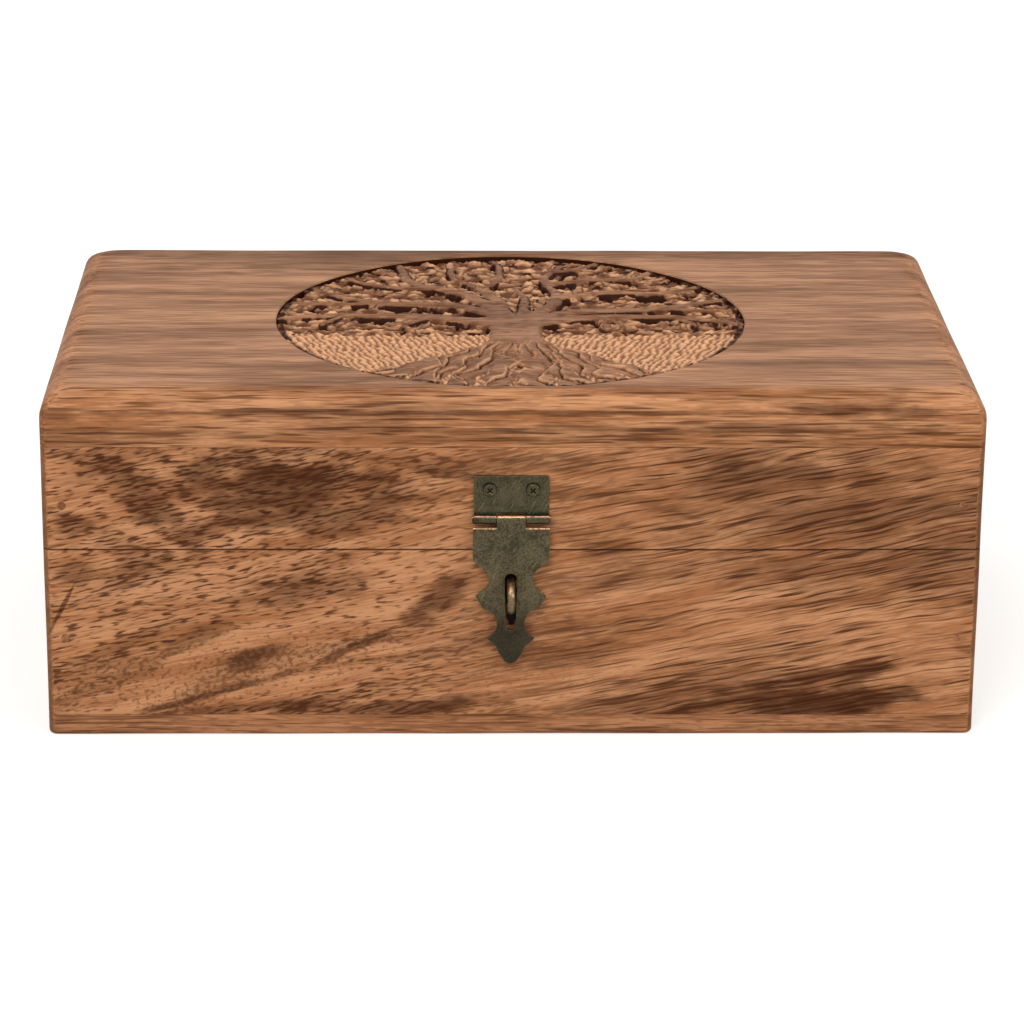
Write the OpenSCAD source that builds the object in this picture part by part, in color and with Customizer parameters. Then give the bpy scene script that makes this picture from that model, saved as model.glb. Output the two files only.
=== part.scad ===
// Keepsake box: a carved wooden box with a hinged lid and a brass hasp.
// Millimetres. Origin: middle of the underside. +X right, -Y front, +Z up.

/* [Box] */
// Width of the box, left to right
box_w = 254; // [220:1:320]
// Depth of the box, front to back
box_d = 152; // [146:1:220]
// Height of the lower half, from the table to the seam
base_h = 54; // [50:1:90]
// Height of the lid, from the seam to its top face
lid_h = 44; // [40:1:70]

/* [Boards] */
// Thickness of the front, back and side boards
wall_t = 11; // [10:0.5:16]
// Thickness of the carved top board
top_t = 15; // [8:0.5:20]
// Thickness of the bottom board
bottom_t = 6; // [4:0.5:10]

/* [Edges] */
// Radius that rounds the top board all the way round
top_round = 7.5; // [3:0.5:8]
// Radius of the four upright corners
corner_round = 2.5; // [1.5:0.5:4]
// Small chamfer on the outer edges at the seam and at the table
edge_ease = 0.5; // [0.3:0.1:0.8]

/* [Carving] */
// Radius of the round carving in the top board
carve_r = 66.5; // [50:0.5:68]
// Place of the carving's centre to the right of the box's centre
carve_x = 0.5; // [-10:0.5:10]
// Place of the carving's centre behind the box's centre
carve_y = -3; // [-3:0.5:3]
// Depth of the ground that is cut away around the tree
ground_deep = 2.2; // [1:0.1:2.8]
// Depth of the undercut pockets in the crown of the tree
pocket_deep = 3.4; // [3:0.1:5]
// Step left between the foot of a limb and a pocket
pocket_step = 0.7; // [0.5:0.1:1.2]
// Radius of the gouge that rounds the inner corners
gouge_r = 0.45; // [0.3:0.05:0.8]
// Width of the trunk at its waist
trunk_w = 14.6; // [10:0.2:18]
// Number of roots in the fan under the trunk
root_count = 9; // [5:2:11]
// Length of a carved leaf
leaf_len = 5.4; // [4:0.2:7]
// Width of a carved leaf
leaf_wide = 2.7; // [2:0.1:3.4]

/* [Hasp] */
// Place of the hasp to the right of the box's centre
hasp_x = -0.6; // [-20:0.2:20]
// Height of the hasp's pin above the seam
hasp_pin_up = 9.3; // [8:0.1:11]
// Thickness of the brass sheet
sheet_t = 0.7; // [0.6:0.05:0.9]
// Diameter of the hasp's pin
hasp_pin_d = 1.2; // [1:0.1:1.6]
// Width of the fixed plate
plate_w = 20.3; // [18:0.1:24]
// Height of the fixed plate above the pin
plate_h = 12; // [11:0.5:14]
// Rounding of the fixed plate's corners
plate_round = 0.6; // [0.4:0.1:1.5]
// Distance between the two plate screws
plate_screw_gap = 11.6; // [9:0.1:13]
// Height of the plate screws above the pin
plate_screw_up = 8.1; // [7.4:0.1:8.6]
// Width of the middle knuckle, which the strap turns on
tongue_w = 7.7; // [6:0.1:9]
// Width of the strap at its cheeks
strap_w = 20.7; // [18:0.1:24]
// Gap from the pin's centre down to the strap's shoulders
shoulder_drop = 2.1; // [2:0.1:2.6]
// Height of the strap's straight cheeks
cheek_h = 9.7; // [8:0.1:12]
// Height of the upper scallop, cheek to wing tip
scallop_h = 10; // [9:0.1:11]
// Radius of the upper scallop
scallop_r = 3.8; // [3.4:0.1:4.2]
// Width of the strap between the upper scallops
waist_w = 11.8; // [10:0.1:13]
// Width of the strap across its wing tips
wing_w = 19.3; // [17:0.1:21]
// Height of the wings below their tips
wing_h = 3.8; // [3:0.1:5]
// Width of the strap at the foot of the wings
wing_foot_w = 14.8; // [13.4:0.1:16]
// Radius of the lower scallop
neck_r = 4.35; // [4.2:0.05:4.6]
// Width of the strap between the lower scallops
neck_w = 7.5; // [6.8:0.1:8.4]
// Height of the lower scallop, wing foot to barb tip
neck_h = 8.3; // [8.2:0.1:8.8]
// Width of the strap across its barb tips
barb_w = 13; // [12.4:0.1:14]
// Height of the barbs below their tips
barb_h = 2.4; // [2:0.1:3]
// Width of the strap at the foot of the barbs
barb_foot_w = 7.9; // [7:0.1:9]
// Width of the strap where its tip starts to close
bell_w = 6.6; // [6:0.1:7]
// Height from the foot of the barbs down to there
bell_h = 1.7; // [1.2:0.1:2.2]
// Radius of the strap's round tip
tip_r = 2.2; // [1.8:0.1:2.6]
// Height of the tip below the barbs
tip_h = 5; // [4.5:0.1:6]
// Distance from the pin to the top of the slot
slot_top = 15.2; // [14.6:0.1:15.4]
// Length of the slot
slot_len = 16.3; // [15:0.1:17]
// Width of the slot at its top
slot_w = 3.4; // [3.2:0.1:3.8]
// Width of the slot at its foot
slot_foot_w = 2.8; // [2.7:0.1:3.2]

/* [Staple] */
// Thickness of the staple's wire
wire_d = 2.2; // [1.8:0.1:2.3]
// Distance between the staple's two legs
staple_gap = 7; // [6.6:0.1:7.4]
// Distance from the seam down to the staple's middle
staple_drop = 12; // [11.6:0.1:12.4]
// How far the staple stands out from the front board
staple_out = 9.4; // [9.2:0.1:10]
// How far the legs are driven into the front board
staple_bite = 9; // [7:0.5:9.5]

/* [Hinges] */
// Distance between the two hinges
hinge_gap = 150; // [120:1:170]
// Width of a hinge
hinge_w = 25; // [22:0.5:32]
// Height of a hinge leaf from the seam
leaf_h = 10; // [9.5:0.5:14]
// Thickness of a hinge leaf
leaf_t = 0.9; // [0.8:0.1:1.1]
// Diameter of a hinge pin
hinge_pin_d = 1.5; // [1.2:0.1:1.8]
// Width of a hinge's middle knuckle
knuckle_w = 9; // [7:0.2:11]
// Distance between the two screws of a leaf
leaf_screw_gap = 16; // [14:0.5:17]
// Distance from the seam to the leaf screws
leaf_screw_off = 6; // [5.4:0.1:6.4]

/* [Fasteners] */
// Diameter of the screw shanks
screw_d = 1.9; // [1.6:0.1:2.2]
// Diameter of the pan heads on the hasp
pan_head_d = 3.8; // [3.4:0.1:4]
// Height of the pan heads on the hasp
pan_head_h = 1.1; // [0.9:0.05:1.2]
// Diameter of the flat heads on the hinges
flat_head_d = 3.4; // [3:0.1:3.6]
// Length of the screws under the head
screw_len = 9; // [6:0.5:9.5]
// Size of the cross recess, tip to tip
cross_size = 2; // [1.6:0.1:2.4]
// Width of the cross recess
cross_w = 0.5; // [0.4:0.05:0.7]
// Depth of the cross recess
cross_deep = 0.5; // [0.3:0.05:0.6]
// Diameter of the nails
nail_d = 1.5; // [1.2:0.1:1.8]
// Diameter of the nail heads
nail_head_d = 2.4; // [2:0.1:2.8]
// Thickness of the nail heads
nail_head_h = 0.8; // [0.6:0.1:1]
// Length of the corner nails
nail_len = 25; // [20:1:30]
// Length of the nails that hold the bottom board
bottom_nail_len = 16; // [12:1:20]
// Height of the corner nails above the table
base_nail_z = 28.5; // [20:0.5:40]
// Height of the lid's corner nails above the seam
lid_nail_up = 12.5; // [8:0.5:18]

/* [Fits] */
// Radial clearance of a knuckle that turns on its pin
turn_fit = 0.05; // [0.03:0.01:0.08]
// Gap between neighbouring knuckles
side_gap = 0.2; // [0.15:0.05:0.3]
// Gap between a turning knuckle and the wood behind it
wood_gap = 0.15; // [0.12:0.01:0.3]

/* [Hidden] */

$fn = 48;
wood = "#b27e57";
brass = "#6b6644";
iron = "#4a3a2c";
over = 1;                                   // how far a cutter runs past the face it cuts
tip_share = 0.2;                            // what a driven point keeps of its diameter
seam_z = base_h;
box_h = base_h + lid_h;
rail_top = box_h - top_t;                   // where the lid rails meet the top board
front_y = -box_d / 2;
back_y = box_d / 2;

hasp_r = hasp_pin_d / 2 + sheet_t;          // outer radius of the hasp's knuckles
hasp_axis = [hasp_x, front_y - wood_gap - hasp_r, seam_z + hasp_pin_up];
staple_z = seam_z - staple_drop;
hinge_r = hinge_pin_d / 2 + leaf_t;         // outer radius of the hinge knuckles
pin_head_h = 0.4;                           // thickness of a pin's riveted head
hinge_axis_y = back_y + wood_gap + hinge_r;
bottom_nail_x = box_w / 2 - 3 * wall_t;     // outer nails of the bottom board

// ---------------------------------------------------------------- outlines

// A rectangle with round corners, centred, made of plain pieces so that its arcs stay true.
module round_rect(w, d, r) {
    square([w - 2 * r, d], center = true);
    square([w, d - 2 * r], center = true);
    for (x = [-1, 1], y = [-1, 1])
        translate([x * (w / 2 - r), y * (d / 2 - r)]) circle(r = r);
}

// Side view of a board stack: flat, with small chamfers below and above.
module eased_side(w, z0, z1, low, high) {
    polygon([[-w / 2 + low, z0], [w / 2 - low, z0], [w / 2, z0 + low], [w / 2, z1 - high],
        [w / 2 - high, z1], [-w / 2 + high, z1], [-w / 2, z1 - high], [-w / 2, z0 + low]]);
}

// Side view of the top board: square below, round above.
module round_side(w, z0, z1, r) {
    translate([-w / 2, z0]) square([w, z1 - z0 - r]);
    translate([-w / 2 + r, z0]) square([w - 2 * r, z1 - z0]);
    for (x = [-1, 1]) translate([x * (w / 2 - r), z1 - r]) circle(r = r);
}

// Stands an outline drawn in X and Z up on its edge and runs it through the box front to back.
module along_y(length) {
    translate([0, length / 2, 0]) rotate([90, 0, 0]) linear_extrude(length) children();
}

// The same, running left to right.
module along_x(length) {
    rotate([0, 0, 90]) along_y(length) children();
}

// The outside shape of the lower half or of the lid rails.
module eased_block(z0, z1, low, high) {
    intersection() {
        translate([0, 0, z0]) linear_extrude(z1 - z0) round_rect(box_w, box_d, corner_round);
        along_y(box_d + 2 * over) eased_side(box_w, z0, z1, low, high);
        along_x(box_w + 2 * over) eased_side(box_d, z0, z1, low, high);
    }
}

module base_outside() {
    eased_block(0, seam_z, edge_ease, edge_ease);
}

module rails_outside() {
    eased_block(seam_z, rail_top, edge_ease, 0);
}

// ---------------------------------------------------------------- boards
// Each board is bored for the nails and screws that are driven into it.

// Front and back boards run the whole width; s is -1 for the front and 1 for the back.
module long_board(s, z0, z1) {
    translate([-box_w / 2, s < 0 ? front_y : back_y - wall_t, z0])
        cube([box_w, wall_t, z1 - z0]);
}

// Side boards butt between the front and the back; s is -1 for the left and 1 for the right.
module short_board(s, z0, z1) {
    translate([s < 0 ? -box_w / 2 : box_w / 2 - wall_t, front_y + wall_t, z0])
        cube([wall_t, box_d - 2 * wall_t, z1 - z0]);
}

module base_bottom() color(wood) difference() {
    intersection() {
        base_outside();
        translate([-box_w / 2, front_y, 0]) cube([box_w, box_d, bottom_t]);
    }
    at_bottom_nails() nail(bottom_nail_len);
}

module base_front() color(wood) difference() {
    intersection() {
        base_outside();
        long_board(-1, bottom_t, seam_z);
    }
    at_base_nails(-1) nail(nail_len);
    at_bottom_nails() nail(bottom_nail_len);
    staple_legs();
}

module base_back() color(wood) difference() {
    intersection() {
        base_outside();
        long_board(1, bottom_t, seam_z);
    }
    at_base_nails(1) nail(nail_len);
    at_bottom_nails() nail(bottom_nail_len);
    at_leaf_screws(-1) screw_shank();
}

module base_side(s) difference() {
    intersection() {
        base_outside();
        short_board(s, bottom_t, seam_z);
    }
    for (face = [-1, 1]) at_base_nails(face) nail(nail_len);
    at_bottom_nails() nail(bottom_nail_len);
}

module base_left() color(wood) base_side(-1);
module base_right() color(wood) base_side(1);

module lid_front() color(wood) difference() {
    intersection() {
        rails_outside();
        long_board(-1, seam_z, rail_top);
    }
    at_lid_nails(-1) nail(nail_len);
    at_plate_screws() screw_shank();
}

module lid_back() color(wood) difference() {
    intersection() {
        rails_outside();
        long_board(1, seam_z, rail_top);
    }
    at_lid_nails(1) nail(nail_len);
    at_leaf_screws(1) screw_shank();
}

module lid_side(s) difference() {
    intersection() {
        rails_outside();
        short_board(s, seam_z, rail_top);
    }
    for (face = [-1, 1]) at_lid_nails(face) nail(nail_len);
}

module lid_left() color(wood) lid_side(-1);
module lid_right() color(wood) lid_side(1);

// ---------------------------------------------------------------- carving
// The tree is drawn in hundredths of the carving's radius, centre at [0, 0], crown towards +Y.

// A limb: where it starts, the point that bends it, where it ends, and its width at both ends.
CROWN = [
    // lower bough on the left, with its end and its drooping twigs
    [[-4, -10], [-24, 6], [-58, 4], 11, 6],
    [[-58, 4], [-76, 8], [-98, 0], 6, 4],
    [[-24, -1], [-34, -2], [-36, -17], 5, 3],
    [[-46, 4], [-56, 0], [-59, -15], 5, 3],
    [[-70, 6], [-80, 2], [-82, -12], 4.5, 3],
    // second bough on the left
    [[-3, -2], [-15, 25], [-42, 22], 9, 6],
    [[-42, 22], [-60, 22], [-76, 36], 6, 4],
    [[-60, 25], [-74, 20], [-94, 25], 4.5, 3],
    [[-76, 36], [-82, 42], [-86, 50], 4, 3],
    // third bough on the left
    [[-1, 0], [-12, 40], [-36, 50], 9, 6],
    [[-36, 50], [-46, 56], [-48, 84], 6, 4],
    [[-33, 48], [-52, 44], [-70, 62], 5, 3],
    // middle boughs
    [[0, 0], [-4, 38], [-12, 60], 9, 6],
    [[-12, 60], [-17, 76], [-14, 98], 5.5, 4],
    [[-11, 58], [-26, 66], [-29, 90], 4.5, 3],
    [[3, 0], [8, 26], [2, 52], 6, 4],
    [[2, 52], [-1, 64], [4, 82], 4.5, 3],
    // third bough on the right
    [[4, 0], [24, 22], [20, 46], 10, 7],
    [[20, 46], [14, 66], [20, 97], 7, 4],
    [[20, 32], [40, 46], [60, 40], 6, 4],
    [[60, 40], [74, 40], [84, 52], 4.5, 3],
    [[18, 54], [34, 64], [50, 62], 5.5, 4],
    [[50, 62], [60, 64], [64, 76], 4.5, 3],
    [[17, 74], [32, 76], [40, 90], 4.5, 3],
    // second bough on the right
    [[6, -3], [26, 16], [52, 14], 9, 6],
    [[52, 14], [72, 16], [95, 32], 6, 4],
    [[68, 18], [80, 12], [97, 13], 4.5, 3],
    // lower bough on the right, with its end and its drooping twigs
    [[6, -10], [24, 5], [50, 4], 11, 6],
    [[50, 4], [74, 7], [98, -8], 6, 4],
    [[22, -1], [30, -2], [31, -17], 5, 3],
    [[44, 4], [54, 1], [56, -16], 5, 3],
    [[68, 5], [78, 0], [80, -14], 4.5, 3]];

unit = carve_r / 100;
limb_steps = 5;                             // facets along a limb
end_facets = 8;                             // facets round its end
rim_facets = 90;                            // facets round the carving
trunk_mid = 2;                              // the trunk stands a little right of the centre
trunk_low = -43;                            // where it runs into the roots
trunk_high = 0;                             // where it runs into the boughs
trunk_rows = 6;                             // facets up the trunk
waist_at = -24;                             // where the trunk is slimmest
low_flare = 0.026;                          // how fast it widens below the waist
high_flare = 0.01;                          // how fast it widens above the waist
root_start = -42;                           // height at which the roots part
root_gap = 4.6;                             // distance between roots under the trunk
root_spread = 10;                           // the same at the bend
root_bend = -62;                            // height of the point that bends them
root_reach = 98.5;                          // the roots run out to the rim
root_first = 236;                           // angle of the leftmost root's tip
root_last = 305;                            // angle of the rightmost root's tip
root_w = [4.4, 9];                          // width of a root at its start and at its tip
crown_floor = -19;                          // the pockets lie above this line
leaf_places = [0.55, 1];                    // shares of a limb's length where leaves grow
leaf_turn = 48;                             // angle between a leaf and its limb
leaf_inset = 0.3;                           // where a leaf starts, as a share of the limb's width

function bend(l, t) = (1 - t) * (1 - t) * l[0] + 2 * t * (1 - t) * l[1] + t * t * l[2];
function heading(l, t) = 2 * (1 - t) * (l[1] - l[0]) + 2 * t * (l[2] - l[1]);
function limb_w(l, t) = l[3] + (l[4] - l[3]) * t;
function side(v) = [-v[1], v[0]] / norm(v);
function limb_edge(l, s) = [for (i = [0:limb_steps]) let (t = i / limb_steps)
    bend(l, t) + s * side(heading(l, t)) * limb_w(l, t) / 2];
function reversed(p) = [for (i = [len(p) - 1:-1:0]) p[i]];
function root(k) = let (m = (root_count - 1) / 2, a = root_first + (root_last - root_first) * k / (2 * m))
    [[trunk_mid + (k - m) * root_gap, root_start], [(k - m) * root_spread, root_bend],
        root_reach * [cos(a), sin(a)], root_w[0], root_w[1]];
function trunk_half(v) = trunk_w / 2 / unit + (v < waist_at ? low_flare : high_flare) * pow(v - waist_at, 2);

module limb(l) {
    polygon(concat(limb_edge(l, 1), reversed(limb_edge(l, -1))));
    translate(l[2]) circle(d = l[4], $fn = end_facets);
}

module trunk() {
    rows = [for (i = [0:trunk_rows]) trunk_low + (trunk_high - trunk_low) * i / trunk_rows];
    polygon(concat([for (v = rows) [trunk_mid + trunk_half(v), v]],
        reversed([for (v = rows) [trunk_mid - trunk_half(v), v]])));
}

// A pointed leaf, from the origin along +X, in millimetres.
module leaf() {
    polygon(concat([for (i = [0:3]) [leaf_len * i / 3, leaf_wide / 2 * sin(60 * i)]],
        [for (i = [2:-1:1]) [leaf_len * i / 3, -leaf_wide / 2 * sin(60 * i)]]));
}

module leaves() {
    for (l = CROWN, t = leaf_places, s = [-1, 1]) {
        way = heading(l, t);
        root_at = (bend(l, t) + s * side(way) * limb_w(l, t) * leaf_inset) * unit;
        translate(root_at) rotate(atan2(way[1], way[0]) + s * leaf_turn) leaf();
    }
}

module tree() {
    scale(unit) {
        trunk();
        for (l = CROWN) limb(l);
        for (k = [0:root_count - 1]) limb(root(k));
    }
}

// The ground that is cut away: the round field less the tree and its leaves.
module carved_ground() {
    offset(delta = gouge_r, chamfer = true) offset(delta = -gouge_r, chamfer = true) difference() {
        circle(r = carve_r, $fn = rim_facets);
        tree();
        leaves();
    }
}

// The deep pockets of the crown, a step inside the ground.
module crown_pockets() {
    offset(delta = gouge_r, chamfer = true) offset(delta = -pocket_step - gouge_r, chamfer = true)
    intersection() {
        carved_ground();
        translate([-carve_r, crown_floor * unit]) square(2 * carve_r);
    }
}

module lid_top() color(wood) difference() {
    intersection() {
        translate([0, 0, rail_top]) linear_extrude(top_t) round_rect(box_w, box_d, corner_round);
        along_y(box_d + 2 * over) round_side(box_w, rail_top, box_h, top_round);
        along_x(box_w + 2 * over) round_side(box_d, rail_top, box_h, top_round);
    }
    translate([carve_x, carve_y, box_h - ground_deep])
        linear_extrude(ground_deep + over) carved_ground();
    translate([carve_x, carve_y, box_h - pocket_deep])
        linear_extrude(pocket_deep + over) crown_pockets();
}

// ---------------------------------------------------------------- fasteners
// Each is drawn pointing along -Z, with its head's seat at the origin.

module nail(length) {
    translate([0, 0, -nail_head_h]) cylinder(d = nail_head_d, h = nail_head_h);
    translate([0, 0, -length + nail_d]) cylinder(d = nail_d, h = length - nail_d);
    translate([0, 0, -length]) cylinder(d1 = tip_share * nail_d, d2 = nail_d, h = nail_d);
}

module screw_shank() {
    translate([0, 0, -screw_len + screw_d]) cylinder(d = screw_d, h = screw_len - screw_d);
    translate([0, 0, -screw_len]) cylinder(d1 = tip_share * screw_d, d2 = screw_d, h = screw_d);
}

module cross_recess(top) {
    for (a = [45, 135]) rotate(a) translate([-cross_size / 2, -cross_w / 2, top - cross_deep])
        cube([cross_size, cross_w, cross_deep + over]);
}

// A pan head on top of the sheet: a low cylinder with a rounded crown.
module pan_screw() difference() {
    union() {
        screw_shank();
        cylinder(d = screw_d, h = sheet_t);
        translate([0, 0, sheet_t]) rotate_extrude() intersection() {
            square([pan_head_d / 2, pan_head_h]);
            union() {
                square([pan_head_d / 2, pan_head_h / 2]);
                square([pan_head_d / 2 - pan_head_h / 2, pan_head_h]);
                translate([pan_head_d / 2 - pan_head_h / 2, pan_head_h / 2]) circle(r = pan_head_h / 2);
            }
        }
    }
    cross_recess(sheet_t + pan_head_h);
}

// A flat head sunk flush into the leaf.
module flat_screw() difference() {
    union() {
        screw_shank();
        cylinder(d1 = screw_d, d2 = flat_head_d, h = leaf_t);
    }
    cross_recess(leaf_t);
}

// Turns a fastener so that it is driven into the front (-1) or the back (1) face.
module driven(s) rotate([s < 0 ? 90 : -90, 0, 0]) children();

module at_corners(s, z) {
    for (x = [-1, 1]) translate([x * (box_w - wall_t) / 2, s * box_d / 2, z]) driven(s) children();
}

module at_base_nails(s) at_corners(s, base_nail_z) children();
module at_lid_nails(s) at_corners(s, seam_z + lid_nail_up) children();

// Nails driven up through the bottom board into the boards that stand on it.
module at_bottom_nails() {
    for (x = [-1, 0, 1], y = [-1, 1])
        translate([x * bottom_nail_x, y * (box_d - wall_t) / 2, 0]) rotate([180, 0, 0]) children();
    for (x = [-1, 1]) translate([x * (box_w - wall_t) / 2, 0, 0]) rotate([180, 0, 0]) children();
}

module at_plate_screws() {
    for (x = [-1, 1])
        translate([hasp_x + x * plate_screw_gap / 2, front_y, hasp_axis[2] + plate_screw_up])
            driven(-1) children();
}

// Leaf screws below (-1) or above (1) the seam.
module at_leaf_screws(s) {
    for (h = [-1, 1], x = [-1, 1])
        translate([h * hinge_gap / 2 + x * leaf_screw_gap / 2, back_y, seam_z + s * leaf_screw_off])
            driven(1) children();
}

module base_corner_nails() color(iron) for (s = [-1, 1]) at_base_nails(s) nail(nail_len);
module lid_corner_nails() color(iron) for (s = [-1, 1]) at_lid_nails(s) nail(nail_len);
module bottom_nails() color(iron) at_bottom_nails() nail(bottom_nail_len);
module hinge_base_screws() color(brass) at_leaf_screws(-1) flat_screw();
module hinge_lid_screws() color(brass) at_leaf_screws(1) flat_screw();
module hasp_screws() color(brass) at_plate_screws() pan_screw();

// ---------------------------------------------------------------- hinges

// A bar along X, centred on the hinge line.
module hinge_bar(d, length) {
    rotate([0, 90, 0]) cylinder(d = d, h = length, center = true);
}

// One leaf with its knuckles; s is -1 for the leaf below the seam, which holds the outer
// knuckles, and 1 for the leaf above it, which holds the middle one.
module hinge_leaf(s) {
    outer_w = (hinge_w - knuckle_w) / 2 - side_gap;
    barrel_back = back_y - hinge_axis_y;
    translate([0, hinge_axis_y, seam_z]) difference() {
        union() {
            translate([-hinge_w / 2, barrel_back, s < 0 ? -leaf_h : 0]) cube([hinge_w, leaf_t, leaf_h]);
            if (s < 0)
                for (x = [-1, 1])
                    translate([x * (hinge_w - outer_w) / 2, 0, 0]) hinge_bar(2 * hinge_r, outer_w);
            else
                hinge_bar(2 * hinge_r, knuckle_w);
        }
        // room for the other leaf's knuckles
        room = hinge_r + side_gap;
        if (s < 0)
            translate([-knuckle_w / 2 - side_gap, barrel_back - over, -room])
                cube([knuckle_w + 2 * side_gap, 2 * hinge_r + 2 * over, 2 * room]);
        else
            for (m = [0, 1]) mirror([m, 0, 0])
                translate([knuckle_w / 2, barrel_back - over, -room])
                    cube([hinge_w / 2, 2 * hinge_r + 2 * over, 2 * room]);
        hinge_bar(hinge_pin_d + (s < 0 ? 0 : 2 * turn_fit), hinge_w + 2 * over);
        for (x = [-1, 1])
            translate([x * leaf_screw_gap / 2, barrel_back, s * leaf_screw_off]) driven(1)
                cylinder(d1 = screw_d, d2 = flat_head_d, h = leaf_t);
    }
}

// A pin through a row of knuckles, with a small riveted head at each end.
module headed_pin(d, length, head_d) {
    hinge_bar(d, length);
    for (x = [-1, 1]) translate([x * (length + pin_head_h) / 2, 0, 0]) hinge_bar(head_d, pin_head_h);
}

module hinge_pin() {
    translate([0, hinge_axis_y, seam_z]) headed_pin(hinge_pin_d, hinge_w, hinge_pin_d + leaf_t);
}

module at_hinge(s) translate([s * hinge_gap / 2, 0, 0]) children();

module hinge_left_base_leaf() color(brass) at_hinge(-1) hinge_leaf(-1);
module hinge_right_base_leaf() color(brass) at_hinge(1) hinge_leaf(-1);
module hinge_left_lid_leaf() color(brass) at_hinge(-1) hinge_leaf(1);
module hinge_right_lid_leaf() color(brass) at_hinge(1) hinge_leaf(1);
module hinge_left_pin() color(brass) at_hinge(-1) hinge_pin();
module hinge_right_pin() color(brass) at_hinge(1) hinge_pin();

// ---------------------------------------------------------------- hasp
// Outlines are drawn in X and Z with the pin at the origin, and stood up by on_pin().

plate_knuckle_w = (plate_w - tongue_w) / 2 - side_gap;
plate_back = front_y - hasp_axis[1];        // the wood's face, behind the pin
strap_back = -hasp_pin_d / 2;               // the strap's sheet runs over the front of the pin
cheek_low = -shoulder_drop - cheek_h;
wing_tip = cheek_low - scallop_h;
wing_low = wing_tip - wing_h;
barb_tip = wing_low - neck_h;
barb_low = barb_tip - barb_h;
strap_tip = barb_low - tip_h;
cheek_cut = 0.6;                            // clipped corner under a cheek
tip_blend = 32;                             // angle down the round tip where the straight edge meets it
flare_up = 0.74;                            // where a scallop opens out, as shares of its radius
flare_out = 0.33;

// Sheet from an outline, front face at y0 - thickness.
module on_pin(y0, thickness) {
    translate([0, y0, 0]) rotate([90, 0, 0]) linear_extrude(thickness) children();
}

module hasp_plate() color(brass) translate(hasp_axis) difference() {
    union() {
        on_pin(plate_back, sheet_t) {
            translate([-plate_w / 2, 0]) square([plate_w, plate_h - plate_round]);
            translate([-plate_w / 2 + plate_round, 0]) square([plate_w - 2 * plate_round, plate_h]);
            for (x = [-1, 1]) translate([x * (plate_w / 2 - plate_round), plate_h - plate_round])
                circle(r = plate_round);
        }
        for (x = [-1, 1]) translate([x * (plate_w - plate_knuckle_w) / 2, 0, 0])
            hinge_bar(2 * hasp_r, plate_knuckle_w);
    }
    // room for the strap's knuckle
    translate([-tongue_w / 2 - side_gap, -hasp_r - over, -hasp_r - over])
        cube([tongue_w + 2 * side_gap, 2 * hasp_r + 2 * over, 2 * hasp_r + over + side_gap]);
    hinge_bar(hasp_pin_d, plate_w + 2 * over);
    for (x = [-1, 1]) translate([x * plate_screw_gap / 2, plate_back, plate_screw_up]) driven(-1)
        cylinder(d = screw_d, h = sheet_t);
}

module hasp_pin() color(brass) translate(hasp_axis) headed_pin(hasp_pin_d, plate_w, hasp_pin_d + sheet_t);

// Half of the strap's outline, right of the middle, before the scallops are cut.
function strap_half() = [[0, -shoulder_drop], [strap_w / 2, -shoulder_drop],
    [strap_w / 2, cheek_low + cheek_cut / 2], [strap_w / 2 - cheek_cut, cheek_low - cheek_cut / 2],
    [wing_w / 2, wing_tip], [wing_foot_w / 2, wing_low],
    [barb_w / 2, barb_tip], [barb_foot_w / 2, barb_low], [bell_w / 2, barb_low - bell_h],
    [tip_r * cos(tip_blend), strap_tip + tip_r * (1 - sin(tip_blend))], [0, strap_tip + tip_r]];

module strap_outline() {
    half = strap_half();
    scallop_z = (cheek_low - cheek_cut / 2 + wing_tip) / 2;
    flare_z = scallop_r * flare_up;
    flare_x = waist_w / 2 + scallop_r * flare_out;
    difference() {
        union() {
            for (m = [0, 1]) mirror([m, 0]) polygon(half);
            translate([0, strap_tip + tip_r]) circle(r = tip_r);
        }
        for (m = [0, 1]) mirror([m, 0]) {
            translate([waist_w / 2 + scallop_r, scallop_z]) circle(r = scallop_r);
            polygon([half[3], [flare_x, scallop_z + flare_z], [flare_x, scallop_z - flare_z],
                half[4], half[4] + [over, 0], half[3] + [over, 0]]);
            translate([neck_w / 2 + neck_r, (wing_low + barb_tip) / 2]) circle(r = neck_r);
        }
    }
}

// A slot with round ends, a little narrower at its foot.
module strap_slot() {
    top = -slot_top - slot_w / 2;
    foot = -slot_top - slot_len + slot_foot_w / 2;
    translate([0, top]) circle(d = slot_w);
    translate([0, foot]) circle(d = slot_foot_w);
    polygon([[-slot_w / 2, top], [-slot_foot_w / 2, foot], [slot_foot_w / 2, foot], [slot_w / 2, top]]);
}

module hasp_strap() color(brass) translate(hasp_axis) difference() {
    union() {
        on_pin(strap_back, sheet_t) difference() {
            union() {
                strap_outline();
                translate([-tongue_w / 2, -shoulder_drop - over]) square([tongue_w, shoulder_drop + over]);
            }
            strap_slot();
        }
        hinge_bar(2 * hasp_r, tongue_w);
    }
    hinge_bar(hasp_pin_d + 2 * turn_fit, tongue_w + 2 * over);
}

// ---------------------------------------------------------------- staple

crown_r = staple_gap / 2;                   // the wire's bend, at its middle
crown_y = front_y - staple_out + crown_r + wire_d / 2;

module staple_legs() {
    for (z = [-1, 1]) translate([hasp_x, crown_y, staple_z + z * crown_r]) rotate([-90, 0, 0]) {
        straight = front_y + staple_bite - crown_y - wire_d;
        cylinder(d = wire_d, h = straight);
        translate([0, 0, straight]) cylinder(d1 = wire_d, d2 = tip_share * wire_d, h = wire_d);
    }
}

module staple() color(brass) {
    staple_legs();
    translate([hasp_x, crown_y, staple_z]) rotate([0, 90, 0]) rotate([0, 0, 180])
        rotate_extrude(angle = 180) translate([crown_r, 0]) circle(d = wire_d);
}

// ---------------------------------------------------------------- nodes

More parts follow.
